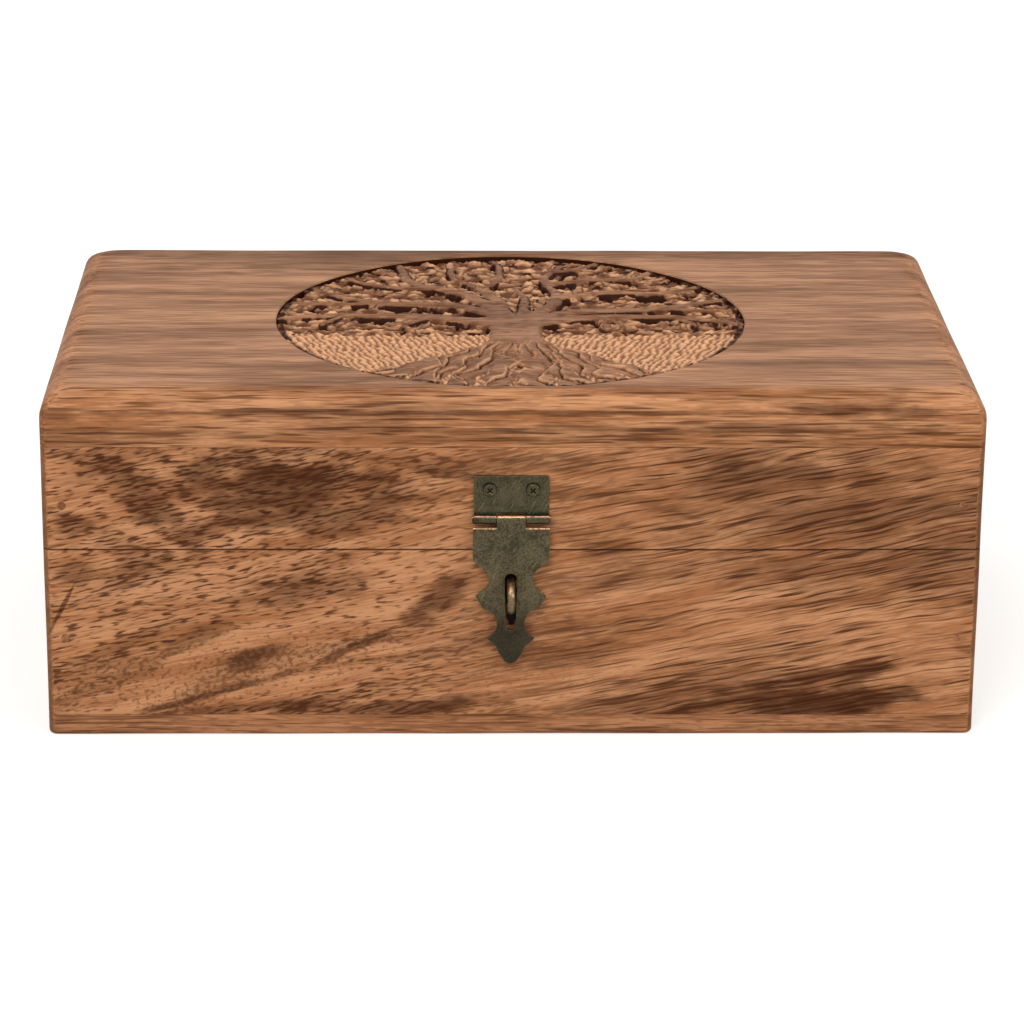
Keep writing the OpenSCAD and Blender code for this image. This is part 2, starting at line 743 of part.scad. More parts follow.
base_bottom();
base_front();
base_back();
base_left();
base_right();
base_corner_nails();
bottom_nails();
staple();
hinge_left_base_leaf();
hinge_right_base_leaf();
hinge_left_pin();
hinge_right_pin();
hinge_base_screws();
lid_top();
lid_front();
lid_back();
lid_left();
lid_right();
lid_corner_nails();
hinge_left_lid_leaf();
hinge_right_lid_leaf();
hinge_lid_screws();
hasp_plate();
hasp_pin();
hasp_screws();
hasp_strap();
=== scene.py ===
# %% [markdown]
# # A carved keepsake box
# The box is a small chest of figured hardwood with a hinged lid, a round tree carving and a hasp of
# antique brass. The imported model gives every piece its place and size, and this lesson gives each
# one its worn edges, its relief and its finish. Lengths are in metres, and MM turns a size that is
# easier to think of in millimetres into metres.

import math

import bmesh
import bpy
import numpy as np
from mathutils import Matrix, Vector, noise


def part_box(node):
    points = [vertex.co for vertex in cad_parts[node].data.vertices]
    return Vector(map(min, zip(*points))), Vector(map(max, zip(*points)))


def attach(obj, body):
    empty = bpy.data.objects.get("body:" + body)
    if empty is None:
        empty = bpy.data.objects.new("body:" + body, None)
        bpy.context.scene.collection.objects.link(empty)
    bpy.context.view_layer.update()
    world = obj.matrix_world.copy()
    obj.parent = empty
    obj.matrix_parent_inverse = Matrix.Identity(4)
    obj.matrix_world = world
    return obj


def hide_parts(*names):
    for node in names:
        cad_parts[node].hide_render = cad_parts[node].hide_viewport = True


MM = 0.001
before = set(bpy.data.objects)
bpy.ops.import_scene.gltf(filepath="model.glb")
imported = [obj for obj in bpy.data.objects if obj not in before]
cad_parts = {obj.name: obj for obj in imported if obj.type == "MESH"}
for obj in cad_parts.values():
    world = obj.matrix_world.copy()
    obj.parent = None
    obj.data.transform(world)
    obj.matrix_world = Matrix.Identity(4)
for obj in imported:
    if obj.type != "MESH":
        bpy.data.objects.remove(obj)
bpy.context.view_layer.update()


def new_object(name, data):
    """An object that is linked into the scene."""
    made = bpy.data.objects.new(name, data)
    bpy.context.scene.collection.objects.link(made)
    return made


# %% [markdown]
# ## The camera
# A product photograph like this one is taken from a little above with a long lens, so upright edges
# stay almost parallel. The place and the three angles were found by fitting the edges of the box.
# A camera looks along its own -Z, so it is first tipped up from the floor, then swung and rolled.

# %% Camera
CAMERA_AT = Vector((-0.0243, -1.0433, 0.4010))
LOOK_DOWN = math.radians(19.16)
SWING = math.radians(-1.415)
ROLL = math.radians(0.475)
SENSOR = 36
LENS = 133.67

camera = new_object("camera", bpy.data.cameras.new("camera"))
camera.data.sensor_width = SENSOR
camera.data.lens = LENS
camera.data.clip_start = 0.05
camera.data.clip_end = 20
tip = Matrix.Rotation(math.pi / 2 - LOOK_DOWN, 4, "X")
camera.matrix_world = (Matrix.Translation(CAMERA_AT) @ Matrix.Rotation(SWING, 4, "Z") @ tip
                       @ Matrix.Rotation(ROLL, 4, "Z"))
bpy.context.scene.camera = camera
print("camera", round(camera.location.length, 3), "m from the box")

# %% [markdown]
# ## A small helper for node trees
# A material is a graph, and building it by hand takes three lines for every node. This helper adds
# a node, fills its sockets with numbers or links, and hands back its output, so that a finish reads
# like a formula.

# %% Node helper
def srgb(red, green, blue):
    """A colour as it looks on screen, 0 to 255, turned into the linear one that shaders use."""
    def linear(c):
        c = c / 255
        return c / 12.92 if c <= 0.04045 else ((c + 0.055) / 1.055) ** 2.4
    return (linear(red), linear(green), linear(blue), 1)


class Graph:
    """Adds nodes to one node tree."""

    def __init__(self, tree):
        self.tree = tree

    def add(self, kind, sockets=(), **settings):
        node = self.tree.nodes.new("ShaderNode" + kind)
        for name, value in settings.items():
            setattr(node, name, value)
        for name, value in dict(sockets).items():
            if isinstance(value, bpy.types.NodeSocket):
                self.tree.links.new(value, node.inputs[name])
            else:
                node.inputs[name].default_value = value
        return node

    def link(self, output, socket):
        self.tree.links.new(output, socket)

    def math(self, operation, *values):
        return self.add("Math", enumerate(values), operation=operation).outputs[0]

    def plus(self, a, b):
        return self.math("ADD", a, b)

    def minus(self, a, b):
        return self.math("SUBTRACT", a, b)

    def times(self, a, b):
        return self.math("MULTIPLY", a, b)

    def over(self, a, b):
        return self.math("DIVIDE", a, b)

    def times_plus(self, a, b, c):
        return self.math("MULTIPLY_ADD", a, b, c)

    def larger(self, a, b):
        return self.math("MAXIMUM", a, b)

    def noise(self, vector, scale, detail=2.0, roughness=0.5):
        sockets = {"Vector": vector, "Scale": scale, "Detail": detail, "Roughness": roughness}
        return self.add("TexNoise", sockets).outputs[0]

    def step(self, value, low, high, out_low=0.0, out_high=1.0):
        """A smooth step: out_low where value is under low, out_high where it is over high."""
        node = self.add("MapRange", {0: value, 1: low, 2: high, 3: out_low, 4: out_high},
                        interpolation_type="SMOOTHSTEP")
        return node.outputs[0]

    def mix(self, share, a, b, blend="MIX"):
        node = self.add("Mix", {0: share, 6: a, 7: b}, data_type="RGBA", blend_type=blend)
        return node.outputs[2]

    def xyz(self, x, y, z):
        return self.add("CombineXYZ", {0: x, 1: y, 2: z}).outputs[0]

    def split(self, vector):
        return self.add("SeparateXYZ", {0: vector}).outputs

    def vector(self, operation, a, b):
        return self.add("VectorMath", {0: a, 1: b}, operation=operation).outputs[0]

    def turned(self, vector, angle):
        """The vector, turned about Y."""
        node = self.add("VectorRotate", {"Vector": vector, "Angle": angle}, rotation_type="Y_AXIS")
        return node.outputs[0]

    def attribute(self, name):
        return self.add("Attribute", attribute_name=name).outputs["Fac"]

    def place(self):
        """The object's own coordinates, in millimetres."""
        return self.add("VectorMath", {0: self.add("TexCoord").outputs["Object"], 3: 1 / MM},
                        operation="SCALE").outputs[0]

    def bump(self, shader, height, strength, distance):
        made = self.add("Bump", {"Height": height, "Strength": strength, "Distance": distance})
        self.link(made.outputs[0], shader.inputs["Normal"])


def new_group(name, inputs, outputs):
    """A shader node group with named sockets, and its input and output nodes."""
    tree = bpy.data.node_groups.new(name, "ShaderNodeTree")
    for socket, kind, value in inputs:
        made = tree.interface.new_socket(socket, in_out="INPUT", socket_type="NodeSocket" + kind)
        if value is not None:
            made.default_value = value
    for socket, kind in outputs:
        tree.interface.new_socket(socket, in_out="OUTPUT", socket_type="NodeSocket" + kind)
    return tree, tree.nodes.new("NodeGroupInput").outputs, tree.nodes.new("NodeGroupOutput").inputs


def empty_graph(owner):
    """The node tree of a material or a world, without the nodes that come with it."""
    owner.use_nodes = True
    owner.node_tree.nodes.clear()
    return Graph(owner.node_tree)


def new_material(name):
    material = bpy.data.materials.new(name)
    graph = empty_graph(material)
    shader = graph.add("BsdfPrincipled")
    output = graph.add("OutputMaterial")
    graph.link(shader.outputs[0], output.inputs[0])
    return material, graph, shader


print("node helper ready")

# %% [markdown]
# ## Figured wood
# The boards are one wild tropical wood. Its pores show as thousands of dark dashes that all climb the
# same way, and its growth rings show as soft dark arches behind them. A flat picture of wood would
# stop at each edge. Instead the grain is solid: it is worked out for every point in the board, and
# each face simply cuts through it, so end grain comes by itself.
#
# The rings are the distance to the heart of the log, plus a taper along the board. The dashes and
# lines are noise that is stretched along the fibres and squeezed across them. Slow noise bends the
# fibres first, because no tree grows straight.

# %% Wood group
WOOD_IN = [
    ("Board", "Vector", None),          # millimetres: X along the grain, Y through the board, Z across it
    ("Tilt", "Float", 0.0),             # how far the fibres climb for each step along the board
    ("Warp", "Float", 1.0),             # how far the growth rings wander
    ("Long", "Float", 0.0),             # 0 for short dashes, 1 for long lines
    ("Specks", "Float", 0.0),           # 1 where the pores are cut at a slant and show as specks
    ("End", "Float", 0.0),              # 1 on end grain, where the pores are cut straight across
    ("Pores", "Float", 0.92),           # how dark they are
    ("Bands", "Float", 0.5),            # how dark the growth rings are
    ("Heart Height", "Float", 50.0),    # where the heart of the log lies across the board
    ("Heart Depth", "Float", 8.0),      # and how far behind its face
    ("Taper", "Float", 0.38),           # how fast the rings run out to the left
    ("Smoke and Shade", "Float", 0.0),
    ("Light", "Color", srgb(212, 151, 107)),
    ("Middle", "Color", srgb(174, 114, 73)),
    ("Dark", "Color", srgb(65, 29, 9)),
]
TAPER_REACH = 42.0                      # the taper fades out over about this length
TAPER_END = 5.0                         # and has faded to the right of this place
SWELLS, CURLS = 0.024, 0.095            # slow and quick bends, for each millimetre
RING_SWELL, RING_CURL = 26.0, 6.5       # how many millimetres they move the growth rings
FIBRE_SWELL, FIBRE_CURL = 6.0, 1.8      # and how many the fibres
RING_LONG, RING_WIDE = 90.0, 7.0
STREAKS = (                             # length and width in millimetres, detail, and a shift of its own
    (60.0, 5.0, 2.0, 3.1),              # broad changes of tone
    (11.0, 0.5, 1.0, 9.7),              # single fibres
    (4.4, 0.78, 1.0, 7.7),              # dashes, where a pore is cut along its length
    (1.5, 0.95, 1.0, 4.9),              # specks, where it is cut at a slant
    (17.0, 0.76, 1.0, 1.9),             # long lines
)


def wood_group():
    tree, given, out = new_group("figured_wood", WOOD_IN, [("Color", "Color"), ("Height", "Float")])
    g = Graph(tree)
    board = given["Board"]
    xyz = g.split(board)
    along, through, across = xyz[0], xyz[1], xyz[2]

    # slow swells and quicker curls bend the rings a lot and the fibres a little
    swell = g.noise(g.xyz(g.times(along, 0.5), through, across), SWELLS, 1.0)
    curl = g.noise(g.xyz(g.times(along, 0.6), through, across), CURLS, 1.0)
    swell = g.times(g.minus(swell, 0.5), given["Warp"])
    curl = g.times(g.minus(curl, 0.5), given["Warp"])
    bent = g.times_plus(swell, RING_SWELL, g.times_plus(curl, RING_CURL, across))
    fibres = g.times_plus(swell, FIBRE_SWELL, g.times_plus(curl, FIBRE_CURL, across))
    fibres = g.minus(fibres, g.times(given["Tilt"], along))

    # distance to the heart, with the taper
    up = g.minus(bent, given["Heart Height"])
    deep = g.plus(through, given["Heart Depth"])
    radius = g.math("SQRT", g.plus(g.times(up, up), g.times(deep, deep)))
    fade = g.math("EXPONENT", g.over(g.minus(TAPER_END, along), TAPER_REACH))
    run = g.times(g.math("LOGARITHM", g.plus(fade, 1.0), math.e), -TAPER_REACH)
    ring = g.times_plus(run, given["Taper"], radius)

    def streak(length, width, detail, shift):
        """Noise that is length long and width thick, running with the fibres."""
        place = g.xyz(g.times_plus(along, 1 / length, shift), g.over(through, width), g.over(fibres, width))
        return g.noise(place, 1.0, detail)

    ring_place = g.xyz(g.over(along, RING_LONG), g.over(through, RING_WIDE), g.over(ring, RING_WIDE))
    rings = g.noise(ring_place, 1.0)
    broad, fibre, dashes, specks, lines = (streak(*values) for values in STREAKS)
    dashes = g.times_plus(g.minus(specks, dashes), given["Specks"], dashes)

    # pores crowd together in the dark rings, in smoky patches and under the painted shade of the top board
    edge = g.step(rings, 0.40, 0.60, 0.535, 0.455)
    edge = g.times_plus(given["Smoke and Shade"], 0.07, edge)
    dash_dark = g.step(g.minus(dashes, edge), -0.15, 0.04, 1.0, 0.0)
    line_dark = g.step(g.minus(lines, edge), -0.17, 0.02, 1.0, 0.0)
    dash_part = g.times(dash_dark, g.times_plus(given["Long"], -0.68, 1.0))
    dash_part = g.times(dash_part, g.times_plus(given["Specks"], -0.4, 1.0))
    line_part = g.times(line_dark, g.times_plus(given["Long"], 0.9, 0.1))
    depth = g.times(given["Pores"], g.step(fibre, 0.3, 0.6, 0.62, 1.0))
    sides = g.times_plus(given["End"], -0.85, 1.0)
    pores = g.times(g.larger(dash_part, line_part), g.times(depth, sides))
    band_dark = g.times(g.step(rings, 0.34, 0.56, 1.0, 0.0), given["Bands"])

    tone = g.times_plus(broad, 0.8, g.times(fibre, 0.6))
    color = g.mix(g.step(tone, 0.54, 0.86), given["Middle"], given["Light"])
    color = g.mix(g.times(band_dark, 0.6), color, given["Dark"])
    # smoky patches darken towards Dark, and on the top board the same input also carries painted shade
    color = g.mix(g.times(given["Smoke and Shade"], 0.76), color, given["Dark"])
    end_dark = g.times(g.times(given["End"], given["End"]), 0.55)
    color = g.mix(end_dark, color, given["Dark"])
    color = g.mix(pores, color, given["Dark"])
    g.link(color, out["Color"])
    relief_here = g.times(g.times(fibre, 0.5), sides)
    g.link(g.minus(relief_here, pores), out["Height"])
    return tree


figured_wood = wood_group()
print("wood group:", len(figured_wood.nodes), "nodes")

# %% [markdown]
# Some boards carry smoky clouds and dark scars that no noise puts in the right place by chance, and on
# the top board two wide clouds over its back half are painted shade. Each one is a soft ellipse at a
# listed place, size and slant. Its rim is frayed along the grain by a noise that all the clouds of a
# board share.

# %% Soft patch group
def soft_patch_group():
    inputs = [("Board", "Vector", None), ("Centre", "Vector", None), ("Reach", "Vector", None),
              ("Slant", "Float", 0.0), ("Fray", "Float", 0.0), ("Strength", "Float", 1.0)]
    tree, given, out = new_group("soft_patch", inputs, [("Mask", "Float")])
    g = Graph(tree)
    level = g.turned(g.vector("SUBTRACT", given["Board"], given["Centre"]), given["Slant"])
    share = g.vector("DIVIDE", level, given["Reach"])
    far = g.add("VectorMath", {0: share}, operation="LENGTH").outputs["Value"]
    rough = g.times_plus(g.minus(given["Fray"], 0.5), 2.4, far)
    mask = g.times(g.step(rough, 0.35, 1.35, 1.0, 0.0), given["Strength"])
    g.link(mask, out["Mask"])
    return tree


soft_patch = soft_patch_group()
print("smoke group:", len(soft_patch.nodes), "nodes")

# %% [markdown]
# Every board gets its own material, because boards come from different places in the log. A Mapping
# node turns and shifts the object's coordinates so that X runs along that board's grain. Edges carry
# a face attribute for wear, which the modelling step writes, because grime collects along them. The
# top board is calmer than the front, and its flat is painted paler and greyer as a painted sheen,
# while its rounded rim shows the same orange wood.

# %% Wood materials
BOARD_TURN = {                          # how each kind of board is turned so that Z runs across its face
    "upright": (0, 0, 0),
    "side": (0, 0, math.radians(-90)),
    "flat": (math.radians(-90), 0, 0),
}
WOOD_TONES = {name: value for name, kind, value in WOOD_IN if kind == "Color"}
# painted sheen: the flat of the top board gets these paler, greyer tones in place of the orange wood
TOP_SHEEN_TONES = {"Light": srgb(203, 148, 110), "Middle": srgb(156, 110, 79), "Dark": srgb(88, 52, 30)}
RIM_IN = (116.0, 65.0)                  # where the top board starts to round over, in X and Y
GRIME = srgb(50, 26, 13)
OPENED = srgb(252, 190, 142)            # wood that a gouge has opened
WIPED_AND_SHADED = srgb(92, 48, 23)                # where a wipe of stain has stayed, and painted shade in front of the pockets
BLACK_AND_SHADE = srgb(54, 23, 8)             # the blackest cuts, and painted shade in the pockets and along the rim
PAINTED_SLOT_SHADE = srgb(20, 16, 14)               # painted shade: the wood round the staple, behind the strap, painted near black
FRAYS = 0.22                            # frayed bits of a cloud's rim for each millimetre
TOP_END = 0.6                           # the top board's ends are sealed, so they darken less


def clouds_mask(g, board, clouds):
    """The largest of the clouds at each place, from 0 to about 1."""
    fray = g.noise(g.vector("MULTIPLY", board, (0.35, 1.0, 1.0)), FRAYS, 3.0)
    total = None
    for centre, reach, slant, strength in clouds:
        mask = g.add("Group", {"Board": board, "Fray": fray, "Centre": centre, "Reach": reach,
                               "Slant": math.radians(slant), "Strength": strength},
                     node_tree=soft_patch).outputs[0]
        total = mask if total is None else g.larger(total, mask)
    return total


def rim_mask(g, place):
    xyz = g.split(place)
    over_x = g.minus(g.math("ABSOLUTE", xyz[0]), RIM_IN[0])
    over_y = g.minus(g.math("ABSOLUTE", xyz[1]), RIM_IN[1])
    return g.step(g.larger(over_x, over_y), 0.0, 7.0)


def end_grain(g, turn):
    """1 where the surface faces along the grain."""
    sockets = {"Vector": g.add("TexCoord").outputs["Normal"], "Rotation": BOARD_TURN[turn]}
    turned = g.add("Mapping", sockets, vector_type="NORMAL").outputs[0]
    return g.step(g.math("ABSOLUTE", g.split(turned)[0]), 0.15, 0.6)


def wood_material(name, turn, shift, clouds=(), specks=(), slot_shades=(), long_reach=None, top=False, **values):
    material, g, shader = new_material(name)
    place = g.place()
    board = g.add("Mapping", {"Vector": place, "Rotation": BOARD_TURN[turn], "Location": shift}).outputs[0]
    sockets = {socket.replace("_", " "): value for socket, value in values.items()}
    wood = g.add("Group", {"Board": board, **sockets}, node_tree=figured_wood)
    if clouds:
        g.link(clouds_mask(g, board, clouds), wood.inputs["Smoke and Shade"])
    ends = end_grain(g, turn)
    g.link(g.times(ends, TOP_END) if top else ends, wood.inputs["End"])
    if specks:
        g.link(clouds_mask(g, board, specks), wood.inputs["Specks"])
    if long_reach:
        g.link(g.step(g.split(board)[0], *long_reach), wood.inputs["Long"])
    if top:
        # painted sheen: paler, greyer tones on the flat of the top board, the orange wood on its rim
        rim = rim_mask(g, place)
        for tone, value in TOP_SHEEN_TONES.items():
            g.link(g.mix(rim, value, WOOD_TONES[tone]), wood.inputs[tone])
        g.link(g.step(rim, 0.0, 1.0, 0.55, 0.8), wood.inputs["Pores"])
    color = wood.outputs["Color"]
    # painted shade: the wood behind the hasp's slot is painted near black
    if slot_shades:
        color = g.mix(clouds_mask(g, board, slot_shades), color, PAINTED_SLOT_SHADE)
    if top:
        color = g.mix(g.attribute("fresh"), color, OPENED)
        # stain, and the painted shade in front of the pockets, turn brown
        color = g.mix(g.attribute("stain"), color, WIPED_AND_SHADED)
        # the dark share turns black: the darkest cuts, and painted shade in the pockets, along the rim and
        # on the walls of the well
        color = g.mix(g.step(g.attribute("dark"), 0.22, 0.62), color, BLACK_AND_SHADE)
    color = g.mix(g.times(g.attribute("wear_and_highlight"), 0.8), color, GRIME)
    g.link(color, shader.inputs["Base Color"])
    height = wood.outputs["Height"]
    g.bump(shader, height, 0.45, 0.1 * MM)
    g.link(g.step(height, -0.8, 0.3, 0.75, 0.55), shader.inputs["Roughness"])
    shader.inputs["Specular IOR Level"].default_value = 0.1
    return material


THROUGH = 40                            # a cloud goes right through its board
FRONT_CLOUDS = [((x, 0, z), (wide, THROUGH, high), slant, strength)
                for x, z, wide, high, slant, strength in (
    (-64, 71, 30, 12, 4, 1.0),
    (-45, 64, 20, 7, 10, 0.8),
    (-99, 68, 19, 6, -40, 0.75),
    (-112, 76, 9, 3, 20, 0.5),
    (-119, 60, 5, 6, 20, 0.6),
    (-118, 47, 5, 5, 30, 0.65),
    (-121, 39.5, 13, 0.5, 63, 0.85),
    (-104, 48, 11, 4, 25, 0.45),
    (-71, 23, 9, 3, 20, 0.9),
    (-55, 43, 18, 5, 6, 0.65),
    (-85, 30, 12, 3, 24, 0.5),
    (-20, 40, 13, 4, 38, 0.9),
    (-79, 13, 26, 1.3, 16, 0.85),
    (-43, 26, 17, 1.3, 26, 0.85),
    (-24, 38, 11, 1.4, 42, 0.9),
    (-24, 8.5, 24, 2.8, 4, 0.9),
    (-70, 8, 24, 2.2, 5, 0.85),
    (-104, 3, 20, 3.4, 0, 0.3),
    (86, 9, 28, 5.6, 5, 1.15),
    (60, 10, 24, 2.2, 9, 0.95),
    (84, 17, 28, 2.0, 8, 0.9),
    (68, 74, 32, 7, 4, 0.7),
    (85, 66, 48, 13, 6, 0.5),
    (95, 50, 42, 7, 5, 0.4),
    (40, 10, 34, 5, 6, 0.5),
    (16, 24, 16, 4, 6, 0.5),
    (-2, 78, 26, 3, 4, 0.55),
)]
FRONT_SLOT_SHADE = [((-0.6, 0, 41.5), (1.9, 5, 9), 0, 2.2)]     # painted shade: the wood behind the hasp's slot is painted black
FRONT_SPECKS = [((-80, 0, 18), (46, 40, 11), 10, 1.0), ((22, 0, 19), (36, 40, 6), 7, 0.8)]
TOP_CLOUDS_AND_SHADE = [                          # in the turned board, Y is 196 on the face and Z is 81 in front
    # the first two are painted shade over the back half of the top, and the rest are smoky patches
    ((80, 196, -66), (170, 40, 14), 0, 0.66),
    ((8, 196, -56), (48, 40, 15), 0, 0.5),
    ((140, 196, 33), (40, 40, 8), 0, 0.25),
    ((-10, 196, 30), (36, 40, 6), 0, 0.3),
    ((80, 190.6, 79), (150, 0.7, 14), 0, 0.75),
    ((128, 186, 81), (80, 1.3, 14), 0, 0.6),
    ((60, 183.4, 81), (60, 1.2, 14), 0, 0.25),
    ((176, 191, 78), (26, 1.9, 14), 0, 0.8),
    ((-44, 190, 78), (10, 2.2, 14), 0, 0.7),
]
front_wood = wood_material("wood_front", "upright", (0, 76, 0), FRONT_CLOUDS, FRONT_SPECKS,
                           FRONT_SLOT_SHADE, (-50, 45), Tilt=0.19)
back_wood = wood_material("wood_back", "upright", (310, 90, 8), Long=0.6, Heart_Depth=30.0, Taper=0.1,
                          Tilt=0.05)
side_wood = wood_material("wood_sides", "side", (-420, 140, -6), Long=0.5, Heart_Depth=24.0, Taper=0.15,
                          Tilt=0.04)
top_wood = wood_material("wood_top", "flat", (80, 98, 5), TOP_CLOUDS_AND_SHADE, top=True, Heart_Height=-170.0,
                         Heart_Depth=60.0, Taper=0.0, Warp=0.35, Bands=0.55, Long=1.0)
bottom_wood = wood_material("wood_bottom", "flat", (10, 0, 33), Heart_Height=-150.0, Taper=0.0, Warp=0.5,
                            Long=0.8, Light=srgb(194, 135, 95), Middle=srgb(154, 101, 65))
print("wood materials:", [m.name for m in bpy.data.materials])

# %% [markdown]
# ## Boards
# A sawn and sanded board has no true edge: every arris is eased, and no face is quite flat. Each
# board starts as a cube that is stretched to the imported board's box. Its outer upright corners get a
# large bevel, its foot a smaller one and all other edges a tiny one. Then it is sliced into short
# lengths, and a slow noise moves the skin by up to a tenth of a millimetre. The noise reads the place
# in the box and not the board, so neighbouring boards stay flush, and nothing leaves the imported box.

# %% Board helpers
CORNER_ROUND = 2.5 * MM
FOOT_ROUND = 1.3 * MM
EASE = 0.24 * MM
GLUED_SEAMS = (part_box("base_bottom")[1].z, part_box("lid_top")[0].z)
WAVE_HEIGHT = 0.16 * MM
NAIL_PROUD = 0.04 * MM                  # the boards have shrunk this much round their nails
WAVE_LENGTH = 34 * MM
SLICE = 7 * MM
MERGE = 1e-6
SMOOTH_ANGLE = math.radians(32)
outer = Vector((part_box("base_bottom")[1].x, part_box("base_bottom")[1].y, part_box("lid_top")[1].z))


def weather(bm):
    """Makes flat faces slightly uneven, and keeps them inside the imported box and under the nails."""
    reach = outer.y - NAIL_PROUD
    for v in bm.verts:
        moved = v.co + noise.noise_vector(v.co / WAVE_LENGTH) * WAVE_HEIGHT
        v.co = (min(max(moved.x, -outer.x), outer.x), min(max(moved.y, -reach), reach),
                min(max(moved.z, NAIL_PROUD), outer.z))


def new_mesh():
    """An empty bmesh. The layers come first, because a new layer drops the faces that code holds."""
    bm = bmesh.new()
    for name in ("wear_and_highlight", "dark", "shade_and_darkening"):
        bm.faces.layers.float.new(name)
    return bm


def mark(bm, name, faces, value=1.0):
    layer = bm.faces.layers.float[name]
    for face in faces:
        face[layer] = value


def bevel(bm, edges, width, segments):
    made = bmesh.ops.bevel(bm, geom=edges, offset=width, offset_type="OFFSET", segments=segments,
                           profile=0.5, affect="EDGES", material=-1, clamp_overlap=False, loop_slide=False)
    return made["faces"]


def sharp_edges(bm, angle=SMOOTH_ANGLE):
    return [e for e in bm.edges if len(e.link_faces) == 2 and e.calc_face_angle(0) > angle]


def slices(bm, axis, step):
    """Cuts the mesh across one axis every step, so that it has points to move."""
    places = [v.co[axis] for v in bm.verts]
    normal = Vector([float(i == axis) for i in range(3)])
    count = int((max(places) - min(places)) / step)
    for i in range(1, count + 1):
        at = min(places) + (max(places) - min(places)) * i / (count + 1)
        geometry = bm.verts[:] + bm.edges[:] + bm.faces[:]
        bmesh.ops.bisect_plane(bm, geom=geometry, dist=1e-7, plane_co=normal * at, plane_no=normal)


def finish_piece(bm, name, body, material, nodes, angle=SMOOTH_ANGLE, even=True):
    """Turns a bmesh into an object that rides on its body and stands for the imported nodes."""
    mesh = bpy.data.meshes.new(name)
    bm.to_mesh(mesh)
    bm.free()
    mesh.polygons.foreach_set("use_smooth", [True] * len(mesh.polygons))
    mesh.set_sharp_from_angle(angle=angle)
    mesh.materials.append(material)
    piece = new_object(name, mesh)
    if even:
        piece.modifiers.new("even shading", "WEIGHTED_NORMAL").keep_sharp = True
    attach(piece, body)
    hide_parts(*nodes)
    return piece


def on_corner(edge):
    """True for an upright edge at a corner of the box."""
    a, b = (v.co for v in edge.verts)
    return abs(a.z - b.z) > MERGE and all(abs(abs(a[i]) - outer[i]) < MERGE for i in (0, 1))


def grime_of(face):
    """No grime gathers on the tight glued seams over the bottom board and under the top board."""
    z = face.calc_center_median().z
    return 0.0 if any(abs(z - seam) < EASE for seam in GLUED_SEAMS) else 1.0


def board(name, node, body, material):
    low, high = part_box(node)
    bm = new_mesh()
    bmesh.ops.create_cube(bm, size=1, matrix=Matrix.LocRotScale((low + high) / 2, None, high - low))
    corners = [e for e in bm.edges if on_corner(e)]
    if corners:
        bevel(bm, corners, CORNER_ROUND, 6)
    foot = [e for e in sharp_edges(bm) if max(v.co.z for v in e.verts) < MERGE]
    if foot:
        bevel(bm, foot, FOOT_ROUND, 3)
    for face in bevel(bm, sharp_edges(bm), EASE, 2):
        mark(bm, "wear_and_highlight", [face], grime_of(face))
    for axis in range(3):
        slices(bm, axis, SLICE)
    weather(bm)
    return finish_piece(bm, name, body, material, [node])


print("corner of the box at", [round(c / MM, 1) for c in outer])

# %% Boards
BOARDS = [
    ("bottom_board", "base_bottom", "base", bottom_wood),
    ("front_board", "base_front", "base", front_wood),
    ("back_board", "base_back", "base", back_wood),
    ("left_board", "base_left", "base", side_wood),
    ("right_board", "base_right", "base", side_wood),
    ("front_rail", "lid_front", "lid", front_wood),
    ("back_rail", "lid_back", "lid", back_wood),
    ("left_rail", "lid_left", "lid", side_wood),
    ("right_rail", "lid_right", "lid", side_wood),
]
for name, node, body, material in BOARDS:
    made = board(name, node, body, material)
    print(name, len(made.data.polygons), "faces")

# %% [markdown]
# ## The top board
# The top board is rounded over all the way round, and a round field is sunk into it for the carving.
# It is built from the outline upwards: one ring of points is drawn out again and again, each time a
# little further in and higher, which is how a router follows an edge. The last ring and the round
# hole are filled with one flat sheet, and the hole is drawn down into a shallow well.

# %% Top board
CARVE_CENTRE = Vector((0.5 * MM, -3 * MM))
CARVE_R = 66.5 * MM
WELL_DEEP = 5 * MM
TOP_ROUND = 7.5 * MM
ROUND_STEPS = 8
CORNER_STEPS = 6
HOLE_STEPS = 256
RIM_EASE = 0.35 * MM
top_low, top_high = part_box("lid_top")


def outline(inset):
    """The board's plan, inset from its sides, with corners that get softer as it goes in."""
    corner = CORNER_ROUND + 0.7 * inset
    points = []
    for sx, sy, start in ((1, 1, 0), (-1, 1, 90), (-1, -1, 180), (1, -1, 270)):
        centre = Vector((sx * (top_high.x - inset - corner), sy * (top_high.y - inset - corner)))
        for i in range(CORNER_STEPS + 1):
            a = math.radians(start + 90 * i / CORNER_STEPS)
            points.append(centre + corner * Vector((math.cos(a), math.sin(a))))
    return points


def place_ring(verts, points, z):
    for v, p in zip(verts, points):
        v.co = (p.x, p.y, z)


def draw_out(bm, edges):
    """Extrudes a ring of edges. The new points come in the order of the old ones."""
    made = bmesh.ops.extrude_edge_only(bm, edges=edges)["geom"]
    return ([v for v in made if isinstance(v, bmesh.types.BMVert)],
            [e for e in made if isinstance(e, bmesh.types.BMEdge)])


def ring_order(verts, centre):
    return sorted(verts, key=lambda v: math.atan2(v.co.y - centre.y, v.co.x - centre.x))


def sorted_outline(inset):
    return sorted(outline(inset), key=lambda p: math.atan2(p.y, p.x))


